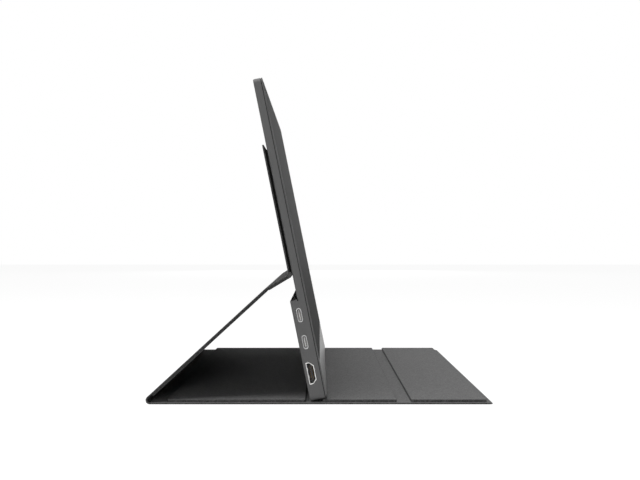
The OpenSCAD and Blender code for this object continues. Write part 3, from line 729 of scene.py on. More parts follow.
@dataclass
class Cover:
    """The cover's cloth, from the flap round the foot to the plate's tip, and the linings over its boards."""

    finishes: Finishes
    width: float = 357.0
    panel_width: float = 353.0
    panel_corner: float = 1.0
    tip_corner: float = 3.0
    cloth: float = 1.1
    lining: float = 0.5
    base_board: float = 1.4
    stand_board: float = 0.8
    cloth_edge: float = 0.32
    lining_edge: float = 0.4
    foot_radius: float = 2.8
    foot_x: float = -114.8064
    panel_a: Pair = (-103.0064, -9.4936)
    panel_b: Pair = (2.0064, 52.4064)
    flap: Pair = (62.2064, 113.4064)
    end: float = 117.6064
    tip: float = 0.6
    strut_length: float = 108.0
    strut_pad_start: float = 3.0
    strip_length: float = 18.3
    plate_length: float = 89.9
    plate_tip: float = 3.4
    margin: float = 1.5
    play: float = 0.05
    # where the weave starts on each segment, so that no two show the same threads
    strut_run: float = 400
    strip_run: float = 510
    shoulder_run: float = 530
    plate_run: float = 540

    @property
    def base_top(self) -> float:
        """Height of the base's panels."""
        return self.cloth + self.base_board + self.lining

    @property
    def stand(self) -> float:
        """Thickness of the stand's segments."""
        return self.cloth + self.stand_board + self.lining

    def sheet(
        self, name: str, bm: BMesh, side: Side, body: str, node: str, run: float,
    ) -> None:
        """Args:
            name: The piece's name.
            bm: Its mesh in the side frame.
            side: The frame.
            body: The body that it rides on.
            node: The node that it stands for.
            run: The length of cloth before it.
        """
        piece = settle(self.two_faced(name, bm, side, run), body, "cloth", node)

    def two_faced(self, name: str, bm: BMesh, side: Side, run: float) -> Object:
        """Makes a piece whose top shows the lining between the panels, where it lies flat on the table."""
        if side == TABLE and name != "foot_fold":
            for face in bm.faces:
                face.material_index = 1 if face.normal.z > 0.7 else 0
        lay_uv(bm, run)
        piece = make_piece(name, bm, side.matrix(), self.finishes.cloth, crisp=False)
        piece.data.materials.append(self.finishes.lining)
        return piece

    def fold(
        self, name: str, bm: BMesh, side: Side, bodies: tuple[str, str], node: str,
        span: tuple[Vector, Vector], run: float,
    ) -> Object:
        """Makes the cloth of a fold between two bodies, fixed in place and attached to neither.

        Args:
            name: The piece's name.
            bm: Its mesh in the side frame.
            side: The frame.
            bodies: The bodies at its two ends. Not used.
            node: The node that it stands for.
            span: Where it leaves the first body and joins the second, in metres. Not used.
            run: The length of cloth before it.

        Returns:
            The piece.
        """
        piece = self.two_faced(name, bm, side, run)
        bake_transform(piece)
        return enter(piece, "cloth", node)

    def lining_over(self, name: str, side: Side, x: Pair, foot: float, free: float, body: str) -> None:
        """Makes the lining that wraps one board, open where it is glued to the cloth.

        Args:
            name: The piece's name, which starts with its node's.
            side: The frame.
            x: Where it starts and ends.
            foot: The Z of the face that is glued to the cloth.
            free: The Z of its free face.
            body: The body that it rides on.
        """
        up = math.copysign(1, free - foot)
        low, high = sorted((foot, free))
        bm = outline(x[1] - x[0], self.panel_width, self.panel_corner, ((x[0] + x[1]) / 2, 0, low))
        solid(bm, (0, 0, high - low))
        glued = [f for f in bm.faces if abs(f.normal.z + up) < 1e-3]
        bmesh.ops.inset_region(bm, faces=glued, thickness=self.lining, depth=0, use_even_offset=True)
        draw_out(bm, glued, (0, 0, up * (abs(free - foot) - self.lining)))
        face_out(bm)
        soften(bm, sharp_edges(bm, lambda e: level(e, 2, free)), self.lining_edge, 4)
        # painted shade on the side faces: the darker edge cloth on the boards, and near-black cloth on the
        # plate for the shadow in its slit
        for face in bm.faces:
            face.material_index = 1 if abs(face.normal.z) < 0.95 else 0
        lay_uv(bm)
        piece = make_piece(name + "_wrap", bm, side.matrix(), self.finishes.lining, crisp=False)
        piece.data.materials.append(self.finishes.slit_shadow if body == "plate" else self.finishes.shaded)
        settle(piece, body, "lining", name)

    def tipped(self, x: Pair, z: float) -> BMesh:
        """A panel of cloth with rounded corners at its free end.

        Args:
            x: Where it starts, and its free end.
            z: The Z of its lower face.

        Returns:
            A mesh with its lower face.
        """
        bm = outline(x[1] - x[0], self.width, 0, ((x[0] + x[1]) / 2, 0, z))
        round_corners(bm, [v for v in bm.verts if v.co.x > x[0] + 1], self.tip_corner)
        return bm

    def base(self) -> None:
        """Makes the base's cloth, its two lined panels and the soft fold at the foot."""
        width, cloth, radius = self.width, self.cloth, self.foot_radius
        length = self.panel_b[1] - self.foot_x
        strip = Sweep(width, (0, cloth), self.cloth_edge, self.foot_x + self.play)
        strip.straight(0, length - self.play, 8)
        for name, x in (("panel_a_liner", self.panel_a), ("panel_b_liner", self.panel_b)):
            self.lining_over(name, TABLE, x, cloth, self.base_top, "base")
        bend = Sweep(width, (0, cloth), self.cloth_edge, self.foot_x)
        bend.turn((self.foot_x, radius), STRUT.angle - 180, radius - cloth / 2, 14)
        away = math.radians(STRUT.angle + 90)
        start = TABLE.point(self.foot_x, 0)
        finish = TABLE.point(self.foot_x + radius * math.cos(away), radius + radius * math.sin(away))
        foot = self.fold("foot_fold", bend.done(), TABLE, ("base", "strut"), "foot_bend", (start, finish), 0)
        self.sheet("base_sheet", strip.done(), TABLE, "base", "base_cloth", 0)

    def front_flap(self) -> None:
        """Makes the flap's tapered cloth, its lining and the fold in its groove."""
        width, cloth = self.width, self.cloth
        near, far = self.flap
        run = near - self.foot_x
        bm = self.tipped((near, self.end), 0)
        draw_out(bm, bm.faces[:], (0, 0, cloth))
        slice_at(bm, 0, far)
        slope = (self.tip - cloth) / (self.end - far)
        shear = Matrix(((1, 0, 0, 0), (0, 1, 0, 0), (slope, 0, 1, -slope * far), (0, 0, 0, 1)))
        sunk = [v for v in bm.verts if v.co.x > far + 1e-4 and v.co.z > cloth / 2]
        bmesh.ops.transform(bm, matrix=shear, verts=sunk)
        face_out(bm)
        soften(bm, sharp_edges(bm, lambda e: not level(e, 0, near)), self.cloth_edge * 0.7)
        self.lining_over("flap_liner", TABLE, self.flap, cloth, self.base_top, "flap")
        start = self.panel_b[1]
        gap = near - start
        bend = Sweep(width, (0, cloth), self.cloth_edge, start).straight(0, gap, 14).done()
        span = (TABLE.point(start, 0), TABLE.point(near, 0))
        fold = self.fold("flap_fold", bend, TABLE, ("base", "flap"), "flap_bend", span, run - gap)
        self.sheet("flap_sheet", bm, TABLE, "flap", "flap_cloth", run - near)

    def stand_segments(self) -> None:
        """Makes the strut, the strip and the plate, and the folds between them."""
        self.strut_and_knee()
        self.strip_and_shoulder()
        self.back_plate()

    def strut_and_knee(self) -> None:
        """Makes the strut's cloth and lining, and the fold above it."""
        width, cloth, stand, margin = self.width, self.cloth, self.stand, self.margin
        radius = self.foot_radius
        length = self.strut_length - margin
        strip = Sweep(width, (radius - cloth, radius), self.cloth_edge, self.play)
        strip.straight(0, length - self.play, 6)
        pad = (self.strut_pad_start, length)
        self.lining_over("strut_liner", STRUT, pad, radius - cloth, radius - stand, "strut")
        # at the knee the cloth turns about the strip's inner face
        layers = (stand - cloth - self.lining, stand)
        turn = STRIP.angle - STRUT.angle
        bend = Sweep(width, layers, self.cloth_edge, -margin).straight(0, margin, 3)
        bend.turn((0, 0), turn, stand, 6).straight(turn, margin, 3)
        knee = Side(STRIP.x, STRIP.z, STRUT.angle)
        span = (knee.point(-margin, 0), STRIP.point(margin, 0))
        run = self.strut_run + length
        fold = self.fold("knee_fold", bend.done(), knee, ("strut", "strip"), "knee_bend", span, run)
        self.sheet(
            "strut_sheet", strip.done(), STRUT, "strut", "strut_cloth", self.strut_run,
        )

    def strip_and_shoulder(self) -> None:
        """Makes the strip's cloth and lining, and the fold above it."""
        width, cloth, stand, margin = self.width, self.cloth, self.stand, self.margin
        pad = (margin, self.strip_length - margin)
        length = pad[1] - pad[0]
        strip = Sweep(width, (stand - cloth, stand), self.cloth_edge, pad[0]).straight(0, length, 2)
        self.lining_over("strip_liner", STRIP, pad, stand - cloth, 0, "strip")
        # at the shoulder it turns about the corner of its own outer face
        turn = PLATE.angle - STRIP.angle
        shoulder = Side(PLATE.x, PLATE.z, STRIP.angle)
        bend = Sweep(width, (-stand, -0.02), self.cloth_edge, -margin).straight(0, margin, 3)
        bend.turn((0, 0), turn, cloth / 2, 12).straight(turn, margin, 3)
        span = (shoulder.point(-margin, 0), PLATE.point(margin, 0))
        fold = self.fold(
            "shoulder_fold", bend.done(), shoulder, ("strip", "plate"), "shoulder_bend", span,
            self.shoulder_run,
        )
        self.sheet(
            "strip_sheet", strip.done(), STRIP, "strip", "strip_cloth", self.strip_run,
        )

    def back_plate(self) -> None:
        """Makes the plate's cloth, round at its free corners, and its lining."""
        bm = solid(self.tipped((self.margin, self.plate_length), -self.cloth), (0, 0, self.cloth))
        soften(bm, sharp_edges(bm, lambda e: not level(e, 0, self.margin)), self.cloth_edge)
        self.sheet("plate_sheet", bm, PLATE, "plate", "plate_cloth", self.plate_run)
        pad = (self.margin, self.plate_length - self.plate_tip)
        self.lining_over("plate_liner", PLATE, pad, -self.cloth, -self.stand, "plate")

    def boards(self) -> None:
        """Dresses the boards and the plate's magnets, which stay as the frame has them."""
        for panel in ("panel_a", "panel_b", "flap", "strut", "strip", "plate"):
            dress(panel + "_board", self.finishes.board)
        dress("plate_magnets", self.finishes.nickel)

    def build(self) -> None:
        """Makes and dresses the whole cover."""
        self.base()
        self.front_flap()
        self.stand_segments()
        self.boards()


def dress(node: str, finish: Material) -> None:
    """Gives a node of the frame a material in all its slots, and reports it."""
    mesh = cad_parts[node].data
    mesh.materials.clear()
    mesh.materials.append(finish)
    log.info("%s: dressed in %s", node, finish.name)


# Monitor


@dataclass
class Housing:
    """The rear shell, the front frame and the chin of the monitor."""

    finishes: Finishes
    width: float = 355.6
    height: float = 222.0
    thin: float = 6.5
    bulge: float = 5.2
    bulge_height: float = 69.3
    corner: float = 3.5
    rear_edge: float = 0.9
    wall: float = 1.2
    frame_depth: float = 0.9
    seam: float = 0.5
    seam_depth: float = 0.4
    rebate: float = 0.4
    lip: float = 1.2
    skirt: float = 1.8
    skirt_wall: float = 0.8
    chin: float = 25.0
    chin_thick: float = 0.35
    film_thick: float = 0.25
    gap: float = 0.3
    fit: float = 0.1
    ledge_edge: float = 0.35
    rib_size: Pair = (250.0, 3.0)
    rib_heights: tuple[float, ...] = (90.65, 172.65, 211.5)
    rib_top: float = -3.5
    post_size: float = 4.4
    post_height: float = 0.5
    post_places: tuple[Pair, ...] = ((-160.0, 9.2), (-160.0, 59.2), (-84.0, 9.2), (-84.0, 59.2))
    web_below_chin: float = 2.1
    front_edge: float = 0.3

    def block(self, inset: float, depths: Pair, step: float, front: float) -> BMesh:
        """The shell's body: a thin plate with a thick lower part.

        Args:
            inset: How far it is drawn in from the outline.
            depths: The back of its thin part and of its thick part.
            step: The height of the thick part.
            front: Where it starts, in front.

        Returns:
            The closed mesh.
        """
        size = (self.width - 2 * inset, self.height - 2 * inset)
        radius = max(self.corner - inset, 0.5)
        bm = outline(*size, radius, (front, 0, self.height / 2), "X")
        slice_at(bm, 2, step)
        back = draw_out(bm, bm.faces[:], (depths[0] - front, 0, 0))
        low = [f for f in back if f.calc_center_median().z < step]
        draw_out(bm, low, (depths[1] - depths[0], 0, 0))
        return face_out(bm)

    def rear_shell(self, holes: BMesh) -> None:
        """Makes the rear shell, hollow, with softened rear edges.

        Args:
            holes: What the ports and keys take away from its sides.
        """
        thick, step = self.thin + self.bulge, self.bulge_height
        bm = self.block(0, (-self.thin, -thick), step, -(self.frame_depth + self.seam))
        rear = sharp_edges(
            bm, lambda e: (level(e, 0, -self.thin) or level(e, 0, -thick)) and not level(e, 2, step)
        )
        soften(bm, rear, self.rear_edge, 4)
        ledge = sharp_edges(bm, lambda e: level(e, 2, step) and level(e, 0, -thick))
        soften(bm, ledge, self.ledge_edge, 3)
        # the hollow starts in front of the shell, so that it opens it
        backs = (-(self.thin - self.wall), -(thick - self.wall))
        hollow = self.block(self.wall, backs, step - self.wall, 0.5)
        bm = cut(cut(bm, hollow), holes)
        add_mesh(bm, self.ribs())
        mount("rear_housing", bm, [self.finishes.housing], "housing", "rear_shell")

    def ribs(self) -> BMesh:
        """The ribs that hold the display and the posts under the main board, inside the shell."""
        bm = bmesh.new()
        back = -(self.thin - self.wall)
        for z in self.rib_heights:
            rib = outline(*self.rib_size, 0, (back, 0, z), "X")
            add_mesh(bm, solid(rib, (self.rib_top - back, 0, 0)))
        floor = -(self.thin + self.bulge - self.wall)
        for y, z in self.post_places:
            post = outline(self.post_size, self.post_size, self.post_size / 2 - 0.01, (floor, y, z), "X", 5)
            add_mesh(bm, solid(post, (self.post_height, 0, 0)))
        return face_out(bm)

    def ring(self, inset: float, x: float) -> tuple[Pair, Pair, float, float]:
        """One loop of the frame, at an inset and a depth."""
        size = (self.width - 2 * inset, self.height - 2 * inset)
        return size, (0.0, self.height / 2), max(self.corner - inset, 0.5), x

    def front_frame(self) -> None:
        """Makes the front frame: its lip, the seam behind it and the skirt inside the shell."""
        seam = -(self.frame_depth + self.seam)
        outer = self.wall + self.fit
        inner = outer + self.skirt_wall
        edge = self.front_edge
        sections = [
            (self.lip, 0.0), (edge, 0.0), (edge * 0.3, -edge * 0.3), (0.0, -edge),
            (0.0, -self.frame_depth + 0.15), (0.15, -self.frame_depth), (self.seam_depth, -self.frame_depth),
            (self.seam_depth, seam), (outer, seam), (outer, seam - self.skirt), (inner, seam - self.skirt),
            (inner, -self.rebate), (self.lip, -self.rebate),
        ]
        bm = tube([self.ring(inset, x) for inset, x in sections])
        # painted shade: the faces in the seam's recess take the dark foam finish, which draws the seam's
        # shadow as a dark line
        for face in bm.faces:
            if all(seam - 1e-3 < v.co.x < 1e-3 - self.frame_depth for v in face.verts):
                face.material_index = 1
        # the web behind the chin
        top = self.chin - self.web_below_chin
        at = (-self.frame_depth, 0, (top + inner) / 2)
        web = outline(self.width - 2 * inner, top - inner, 0.5, at, "X")
        add_mesh(bm, solid(web, (self.frame_depth - self.rebate, 0, 0)))
        looks = [self.finishes.housing, self.finishes.foam]
        mount("front_bezel", bm, looks, "housing", "front_frame")

    def inlay(
        self, name: str, z: Pair, thick: float, finish: Material, slot: str, node: str, round_at: int
    ) -> None:
        """Makes a thin plate that lies in the frame's rebate.

        Args:
            name: The piece's name.
            z: Its bottom and top.
            thick: Its thickness.
            finish: Its material.
            slot: The record's slot.
            node: The node that it stands for.
            round_at: -1 if its lower corners are round, 1 if its upper ones are.
        """
        inset = self.lip + self.fit
        middle = (z[0] + z[1]) / 2
        bm = outline(self.width - 2 * inset, z[1] - z[0], 0, (-self.rebate, 0, middle), "X")
        ends = [v for v in bm.verts if (v.co.z - middle) * round_at > 0]
        round_corners(bm, ends, self.corner - inset, 5)
        solid(bm, (thick, 0, 0))
        soften(bm, sharp_edges(bm, lambda e: level(e, 0, thick - self.rebate)), 0.1, 2)
        mount(name, bm, [finish], slot, node)

    def build(self, holes: BMesh) -> None:
        """Makes the shell, the frame, the chin and the screen's film."""
        self.rear_shell(holes)
        self.front_frame()
        inset = self.lip + self.fit
        look = self.finishes
        low, high = (inset, self.chin - self.gap), (self.chin, self.height - inset)
        self.inlay("chin_panel", low, self.chin_thick, look.chin, "chin", "chin_cover", -1)
        self.inlay("matt_screen", high, self.film_thick, look.screen, "screen", "screen_film", 1)


@dataclass
class Ports:
    """The two USB-C ports and the HDMI port on the near side, and the audio jack on the far side."""

    finishes: Finishes
    side: float = 177.8
    depth: float = -7.2
    usb_heights: Pair = (58.8, 40.2)
    usb_outer: Pair = (3.5, 9.75)
    usb_mouth: Pair = (2.56, 8.34)
    usb_length: float = 7.4
    sleeve_back: float = 1.0
    usb_tongue: Pair = (0.7, 6.7)
    usb_tongue_length: float = 5.6
    usb_contact: Pair = (0.05, 0.28)
    usb_contact_pitch: float = 0.5
    hdmi_height: float = 18.8
    hdmi_size: Pair = (5.3, 14.9)
    hdmi_narrow: float = 9.8
    hdmi_length: float = 11.4
    hdmi_wall: float = 0.5
    hdmi_tongue: Pair = (1.5, 10.4)
    hdmi_tongue_length: float = 8.4
    hdmi_tongue_shift: float = 0.35
    hdmi_contact: Pair = (0.08, 0.5)
    hdmi_seat: float = 3.0
    jack_height: float = 18.8
    jack_bore: float = 3.56
    jack_collar: float = 5.0
    jack_length: float = 12.0
    wall: float = 1.2
    fit: float = 0.1

    def slot(self, size: Pair, z: float, y: float) -> BMesh:
        """A face with round ends in the side's plane."""
        return outline(size[0], size[1], size[0] / 2 - 1e-3, (self.depth, y, z), "Y", 8)

    def hdmi_face(self, grow: float, y: float) -> BMesh:
        """The HDMI port's face, wide at the back and narrow in front.

        Args:
            grow: How far it stands out from the shell's outer shape.
            y: Where it is across the width.

        Returns:
            A mesh with one face.
        """
        thick, long = self.hdmi_size[0] / 2 + grow, self.hdmi_size[1] / 2 + grow
        narrow = self.hdmi_narrow / 2 + grow
        middle = -thick + 2 * thick * 0.48
        bm = bmesh.new()
        half = [(-thick, long), (middle, long), (thick, narrow)]
        corners = [(x, -z) for x, z in half] + half[::-1]
        bm.faces.new([bm.verts.new((self.depth + x, y, self.hdmi_height + z)) for x, z in corners])
        round_corners(bm, bm.verts, 0.45 + max(grow, -0.2), 4)
        return bm

    def sleeve(self, outer: BMesh, inner: BMesh, length: float) -> BMesh:
        """A metal sleeve with a rounded mouth and a closed back.

        Args:
            outer: Its outer face, at the mouth.
            inner: Its opening, at the mouth.
            length: Its length.

        Returns:
            The closed mesh.
        """
        # the opening starts in front of the mouth, so that it cuts it clean
        bmesh.ops.translate(inner, verts=inner.verts, vec=(0, -1, 0))
        room = solid(inner, (0, length - self.sleeve_back + 1, 0))
        bm = cut(solid(outer, (0, length, 0)), room)
        soften(bm, sharp_edges(bm, lambda e: level(e, 1, -self.side)), 0.13, 3)
        return bm

    def holes(self) -> BMesh:
        """What the ports and the keys take away from the rear shell's sides."""
        bm = bmesh.new()
        through = (0, self.wall + 1, 0)
        usb = (self.usb_outer[0] + 2 * self.fit, self.usb_outer[1] + 2 * self.fit)
        near, far = -self.side - 0.5, self.side - self.wall - 0.5
        faces = [self.slot(usb, z, near) for z in self.usb_heights]
        faces.append(self.hdmi_face(self.fit, near))
        jack = self.jack_collar + 2 * self.fit
        faces += [self.slot(size, z, far) for size, z in (((jack, jack), self.jack_height), *Keys.openings())]
        for face in faces:
            add_mesh(bm, solid(face, through))
        return bm

    @staticmethod
    def blade(size: Pair, corner: float, at: Place, length: float, tip_round: tuple[float, int]) -> BMesh:
        """A connector's tongue, drawn from its root towards the mouth.

        Args:
            size: Its thickness and width.
            corner: The radius of its long edges.
            at: The middle of its root.
            length: Its length.
            tip_round: The radius of its tip's edges and how many faces it takes.

        Returns:
            The closed mesh.
        """
        bm = outline(*size, corner, at, "Y", 3)
        tip = draw_out(bm, bm.faces[:], (0, -length, 0))
        face_out(bm)
        soften(bm, {e for f in tip for e in f.edges}, *tip_round)
        return bm

    @staticmethod
    def add_contact(tongue: BMesh, size: Pair, at: Place, length: float) -> None:
        """Lays one gold contact on a tongue, drawn from its root towards the mouth."""
        pad = solid(outline(*size, 0, at, "Y"), (0, -length, 0))
        for face in pad.faces:
            face.material_index = 1
        add_mesh(tongue, pad)

    def usb(self) -> None:
        """Makes the two USB-C sleeves and their tongues with contacts."""
        shells, tongues = bmesh.new(), bmesh.new()
        root = -self.side + self.usb_length - self.sleeve_back
        for z in self.usb_heights:
            outer, inner = self.slot(self.usb_outer, z, -self.side), self.slot(self.usb_mouth, z, -self.side)
            add_mesh(shells, self.sleeve(outer, inner, self.usb_length))
            length = self.usb_tongue_length
            add_mesh(tongues, self.blade(self.usb_tongue, 0.2, (self.depth, root, z), length, (0.12, 2)))
            for row in (-0.36, 0.36):
                for i in range(12):
                    at = (self.depth + row, root, z + (i - 5.5) * self.usb_contact_pitch)
                    self.add_contact(tongues, self.usb_contact, at, length - 1)
        look = self.finishes
        mount("usb_c_sleeves", shells, [look.blasted], "connector_metal", "usb_c_shells")
        mount("usb_c_blades", tongues, [look.tongue, look.gold], "black_plastic", "usb_c_tongues")

    def hdmi(self) -> None:
        """Makes the HDMI sleeve with its grip springs, and its tongue with contacts."""
        mouth, opening = self.hdmi_face(0, -self.side), self.hdmi_face(-self.hdmi_wall, -self.side)
        bm = self.sleeve(mouth, opening, self.hdmi_length)
        # two springs stand in from each long side
        for lean in (1, -1):
            x = self.depth - lean * (self.hdmi_size[0] / 2 - 0.62)
            for z in (-2.6, 2.6):
                spring = outline(0.2, 1.6, 0, (x, -self.side + 4.0, self.hdmi_height + z), "Y")
                add_mesh(bm, solid(spring, (-0.1 * lean, 3.0, 0)))
        look = self.finishes
        mount("hdmi_sleeve", bm, [look.nickel], "connector_metal", "hdmi_shell")
        root = -self.side + self.hdmi_length - self.sleeve_back
        x, length = self.depth + self.hdmi_tongue_shift, self.hdmi_tongue_length
        tongue = self.blade(self.hdmi_tongue, 0.25, (x, root, self.hdmi_height), length, (0.3, 3))
        # the black insulator that closes the sleeve behind the tongue
        seat = self.hdmi_face(-self.hdmi_wall - 0.02, root - self.hdmi_seat)
        add_mesh(tongue, solid(seat, (0, self.hdmi_seat, 0)))
        for row, count in ((-0.78, 10), (0.78, 9)):
            for i in range(count):
                at = (x + row, root, self.hdmi_height + i - (count - 1) / 2)
                self.add_contact(tongue, self.hdmi_contact, at, length - 1)
        mount("hdmi_blade", tongue, [look.nylon, look.gold], "gold_plate", "hdmi_tongue")

    def jack(self) -> None:
        """Makes the audio jack: a collar with a rounded mouth, a bore and a body."""
        collar, bore = (self.jack_collar,) * 2, (self.jack_bore,) * 2
        z, length = self.jack_height, self.jack_length
        inner = self.side - self.wall
        bm = solid(self.slot(collar, z, inner - length), (0, self.wall + length, 0))
        bm = cut(bm, solid(self.slot(bore, z, self.side - length), (0, length + 1, 0)))
        soften(bm, sharp_edges(bm, lambda e: level(e, 1, self.side)), 0.25, 3)
        body = outline(6, 6, 0.4, (self.depth - 0.3, inner - length - 2, z), "Y", 3)
        # the body leaves room for the collar
        core = solid(self.slot(collar, z, inner - length), (0, length + 3, 0))
        add_mesh(bm, cut(solid(body, (0, length + 1.9, 0)), core))
        mount("audio_socket", bm, [self.finishes.nylon], "black_plastic", "audio_jack")

    def build(self) -> None:
        """Makes all the ports."""
        self.usb()
        self.hdmi()
        self.jack()


@dataclass
class Keys:
    """The power button, the menu rocker and the status light on the far side."""

    finishes: Finishes
    side: float = 177.8
    wall: float = 1.2
    depth: float = -7.2
    thick: float = 2.4
    proud: float = 0.3
    power_height: float = 57.0
    power_length: float = 10.0
    rocker_height: float = 37.0
    rocker_length: float = 16.0
    pin: float = 1.0

    @staticmethod
    def openings() -> list[tuple[Pair, float]]:
        """The sizes and heights of the holes for both keys and the light."""
        return [((2.7, 10.3), 57.0), ((2.7, 16.6), 37.0), ((1.4, 1.4), 49.4)]

    def cap(self, length: float, z: float, root: float) -> BMesh:
        """A key's cap with round ends, a softened face and a shallow dish.

        Args:
            length: Its length.
            z: Its height on the side.
            root: Where it starts, across the width.

        Returns:
            The closed mesh.
        """
        bm = outline(self.thick, length, self.thick / 2 - 1e-3, (self.depth, root, z), "Y", 8)
        top = draw_out(bm, bm.faces[:], (0, self.side + self.proud - root, 0))
        bmesh.ops.inset_region(bm, faces=top, thickness=0.55, depth=0, use_even_offset=True)
        bmesh.ops.translate(bm, verts=list({v for f in top for v in f.verts}), vec=(0, -0.12, 0))
        face_out(bm)
        soften(bm, sharp_edges(bm, lambda e: level(e, 1, self.side + self.proud)), 0.2, 3)
        return bm

    def power(self) -> None:
        """Makes the power button, with the flange that keeps it in and the nub that meets its switch."""
        seat, z = self.side - self.wall - 0.1, self.power_height
        bm = self.cap(self.power_length, z, seat)
        flange = outline(self.thick + 1, self.power_length + 1, 1.69, (self.depth, seat - 0.8, z), "Y", 8)
        nub = outline(1.6, 1.6, 0.79, (self.depth, seat - 1.6, z), "Y", 5)
        for part in (flange, nub):
            add_mesh(bm, solid(part, (0, 0.8, 0)))
        mount("power_key", bm, [self.finishes.keys], "keys", "power_button", "power_button")

    def rocker(self) -> None:
        """Makes the menu rocker on its pin."""
        pivot, z = self.side - self.wall - 1.4, self.rocker_height
        bm = self.cap(self.rocker_length, z, pivot + 0.6)
        hub = outline(2.4, 2.4, 1.19, (self.depth - 1, pivot, z), "X", 6)
        bore = self.pin + 0.1
        hole = outline(bore, bore, 0.549, (self.depth - 2, pivot, z), "X", 5)
        add_mesh(bm, cut(solid(hub, (2, 0, 0)), solid(hole, (4, 0, 0))))
        neck = outline(2, 2.4, 0, (self.depth, pivot + 0.62, z), "Y")
        add_mesh(bm, solid(neck, (0, 0.1, 0)))
        mount("menu_key", bm, [self.finishes.keys], "keys", "menu_rocker", "menu_rocker")

    def build(self) -> None:
        """Makes both keys and dresses what carries them."""
        self.power()
        self.rocker()
        dress("status_light", self.finishes.pipe)
        dress("power_switch", self.finishes.nylon)
        dress("menu_switches", self.finishes.nylon)
        dress("rocker_pin", self.finishes.nickel)
        dress("key_board", self.finishes.circuit)


@dataclass
class Inside:
    """What the housing hides: the display's layers, the boards and the speakers, as the frame has them."""

    finishes: Finishes

    def build(self) -> None:
        """Dresses each hidden node in its own finish."""
        look = self.finishes
        for node, finish in {
            "display_glass": look.glass, "diffuser_sheets": look.diffuser, "light_guide": look.acrylic,
            "light_strip": look.light_strip, "display_tray": look.steel, "tray_tapes": look.foam,
            "display_board": look.circuit, "display_ribbon": look.ribbon, "main_board": look.circuit,
            "board_screws": look.nickel, "shield_can": look.steel, "keeper_plates": look.steel,
            "speakers": look.nylon, "speaker_gaskets": look.foam,
        }.items():
            dress(node, finish)


# Studio


@dataclass(frozen=True)
class SoftBox:
    """One square lamp and what it faces, in metres and watts."""

    name: str
    place: Place
    size: float
    power: float
    target: Place = (0.0, 0.0, 0.05)

    def build(self) -> None:
        """Hangs the lamp."""
        light = bpy.data.lights.new(self.name, "AREA")
        light.shape, light.size, light.energy = "SQUARE", self.size, self.power
        lamp = bpy.data.objects.new(self.name, light)
        lamp.location = self.place
        lamp.rotation_euler = (Vector(self.target) - Vector(self.place)).to_track_quat("-Z", "Y").to_euler()
        bpy.context.scene.collection.objects.link(lamp)


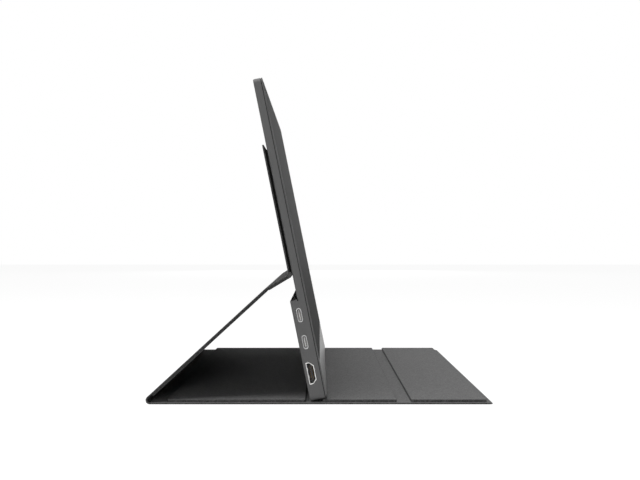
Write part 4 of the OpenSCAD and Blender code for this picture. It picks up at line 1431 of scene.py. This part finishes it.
@dataclass
class Studio:
    """The white sweep, the lamps and the camera of the photograph."""

    eye: Place = (0.37, -910.5, 111.1)
    focal_px: float = 1083.0
    photo_width: float = 640.0
    sensor: float = 36.0
    floor_size: float = 8.0
    fill: float = 0.15
    lamps: tuple[SoftBox, ...] = (
        SoftBox("overhead", (-0.4, -0.3, 1.4), 1.0, 21.0, (0.05, 0.0, 0.0)),
        SoftBox("low_front", (-0.3, -3.0, 0.6), 0.8, 14.5),
        SoftBox("low_back", (0.0, 3.0, 0.45), 0.8, 5.0),
    )

    def camera(self) -> None:
        """Stands the camera level, looking along the width of the object."""
        lens = bpy.data.cameras.new("camera")
        lens.sensor_width = self.sensor
        lens.lens = self.focal_px * self.sensor / self.photo_width
        lens.clip_start, lens.clip_end = 0.05, 30
        camera = bpy.data.objects.new("camera", lens)
        camera.location = Vector(self.eye) * MM
        camera.rotation_euler = (math.radians(90), 0, 0)
        bpy.context.scene.collection.objects.link(camera)
        bpy.context.scene.camera = camera

    @staticmethod
    def shown_white(tree: NodeTree) -> NodeSocket:
        """One for rays that see the backdrop straight, in a gloss or through glass, none for the rest."""
        rays = add(tree, "ShaderNodeLightPath").outputs
        shown = rays["Is Camera Ray"]
        for other in ("Is Glossy Ray", "Is Transmission Ray"):
            shown = add(tree, "ShaderNodeMath", {0: shown, 1: rays[other]}, operation="MAXIMUM").outputs[0]
        return shown

    def floor(self) -> None:
        """Lays the pale floor, which looks white and keeps a faint shadow."""
        bm = bmesh.new()
        bmesh.ops.create_grid(bm, x_segments=1, y_segments=1, size=self.floor_size / 2)
        bmesh.ops.translate(bm, verts=bm.verts, vec=(0, 0, -0.1 * MM))
        mesh = bpy.data.meshes.new("floor")
        bm.to_mesh(mesh)
        bm.free()
        floor = bpy.data.objects.new("floor", mesh)
        bpy.context.scene.collection.objects.link(floor)
        material = bpy.data.materials.new("matt white paper")
        material.use_nodes = True
        tree = material.node_tree
        tree.nodes.clear()
        paper = add(tree, "ShaderNodeBsdfDiffuse", {"Color": (0.8, 0.8, 0.8, 1)}).outputs[0]
        # what the camera sees: nearly white by itself, with a little of the light that falls on it
        faint = add(tree, "ShaderNodeBsdfDiffuse", {"Color": (0.14, 0.14, 0.14, 1)}).outputs[0]
        glow = add(tree, "ShaderNodeEmission", {"Color": (1, 1, 1, 1), "Strength": 0.93}).outputs[0]
        white = add(tree, "ShaderNodeAddShader", {0: faint, 1: glow}).outputs[0]
        mixed = add(tree, "ShaderNodeMixShader", {0: self.shown_white(tree), 1: paper, 2: white}).outputs[0]
        add(tree, "ShaderNodeOutputMaterial", {"Surface": mixed})
        mesh.materials.append(material)

    def world(self) -> None:
        """Fills the room with an even light and shows it white to the camera and in reflections."""
        world = bpy.data.worlds.new("studio")
        bpy.context.scene.world = world
        world.use_nodes = True
        tree = world.node_tree
        tree.nodes.clear()
        even = add(tree, "ShaderNodeBackground", {"Color": (1, 1, 1, 1), "Strength": self.fill}).outputs[0]
        white = add(tree, "ShaderNodeBackground", {"Color": (1, 1, 1, 1), "Strength": 1.0}).outputs[0]
        mixed = add(tree, "ShaderNodeMixShader", {0: self.shown_white(tree), 1: even, 2: white}).outputs[0]
        add(tree, "ShaderNodeOutputWorld", {"Surface": mixed})

    def build(self) -> None:
        """Sets the stage."""
        self.camera()
        self.floor()
        self.world()
        for lamp in self.lamps:
            lamp.build()
        bpy.context.scene.view_settings.view_transform = "Standard"


def main() -> None:
    """Builds the studio, the cover and the monitor in order."""
    logging.basicConfig(level=logging.INFO, format="%(name)s: %(message)s")
    Studio().build()
    finishes = Finishes()
    Cover(finishes).build()
    ports = Ports(finishes)
    Housing(finishes).build(ports.holes())
    ports.build()
    Keys(finishes).build()
    Inside(finishes).build()


if __name__ == "__main__":
    main()
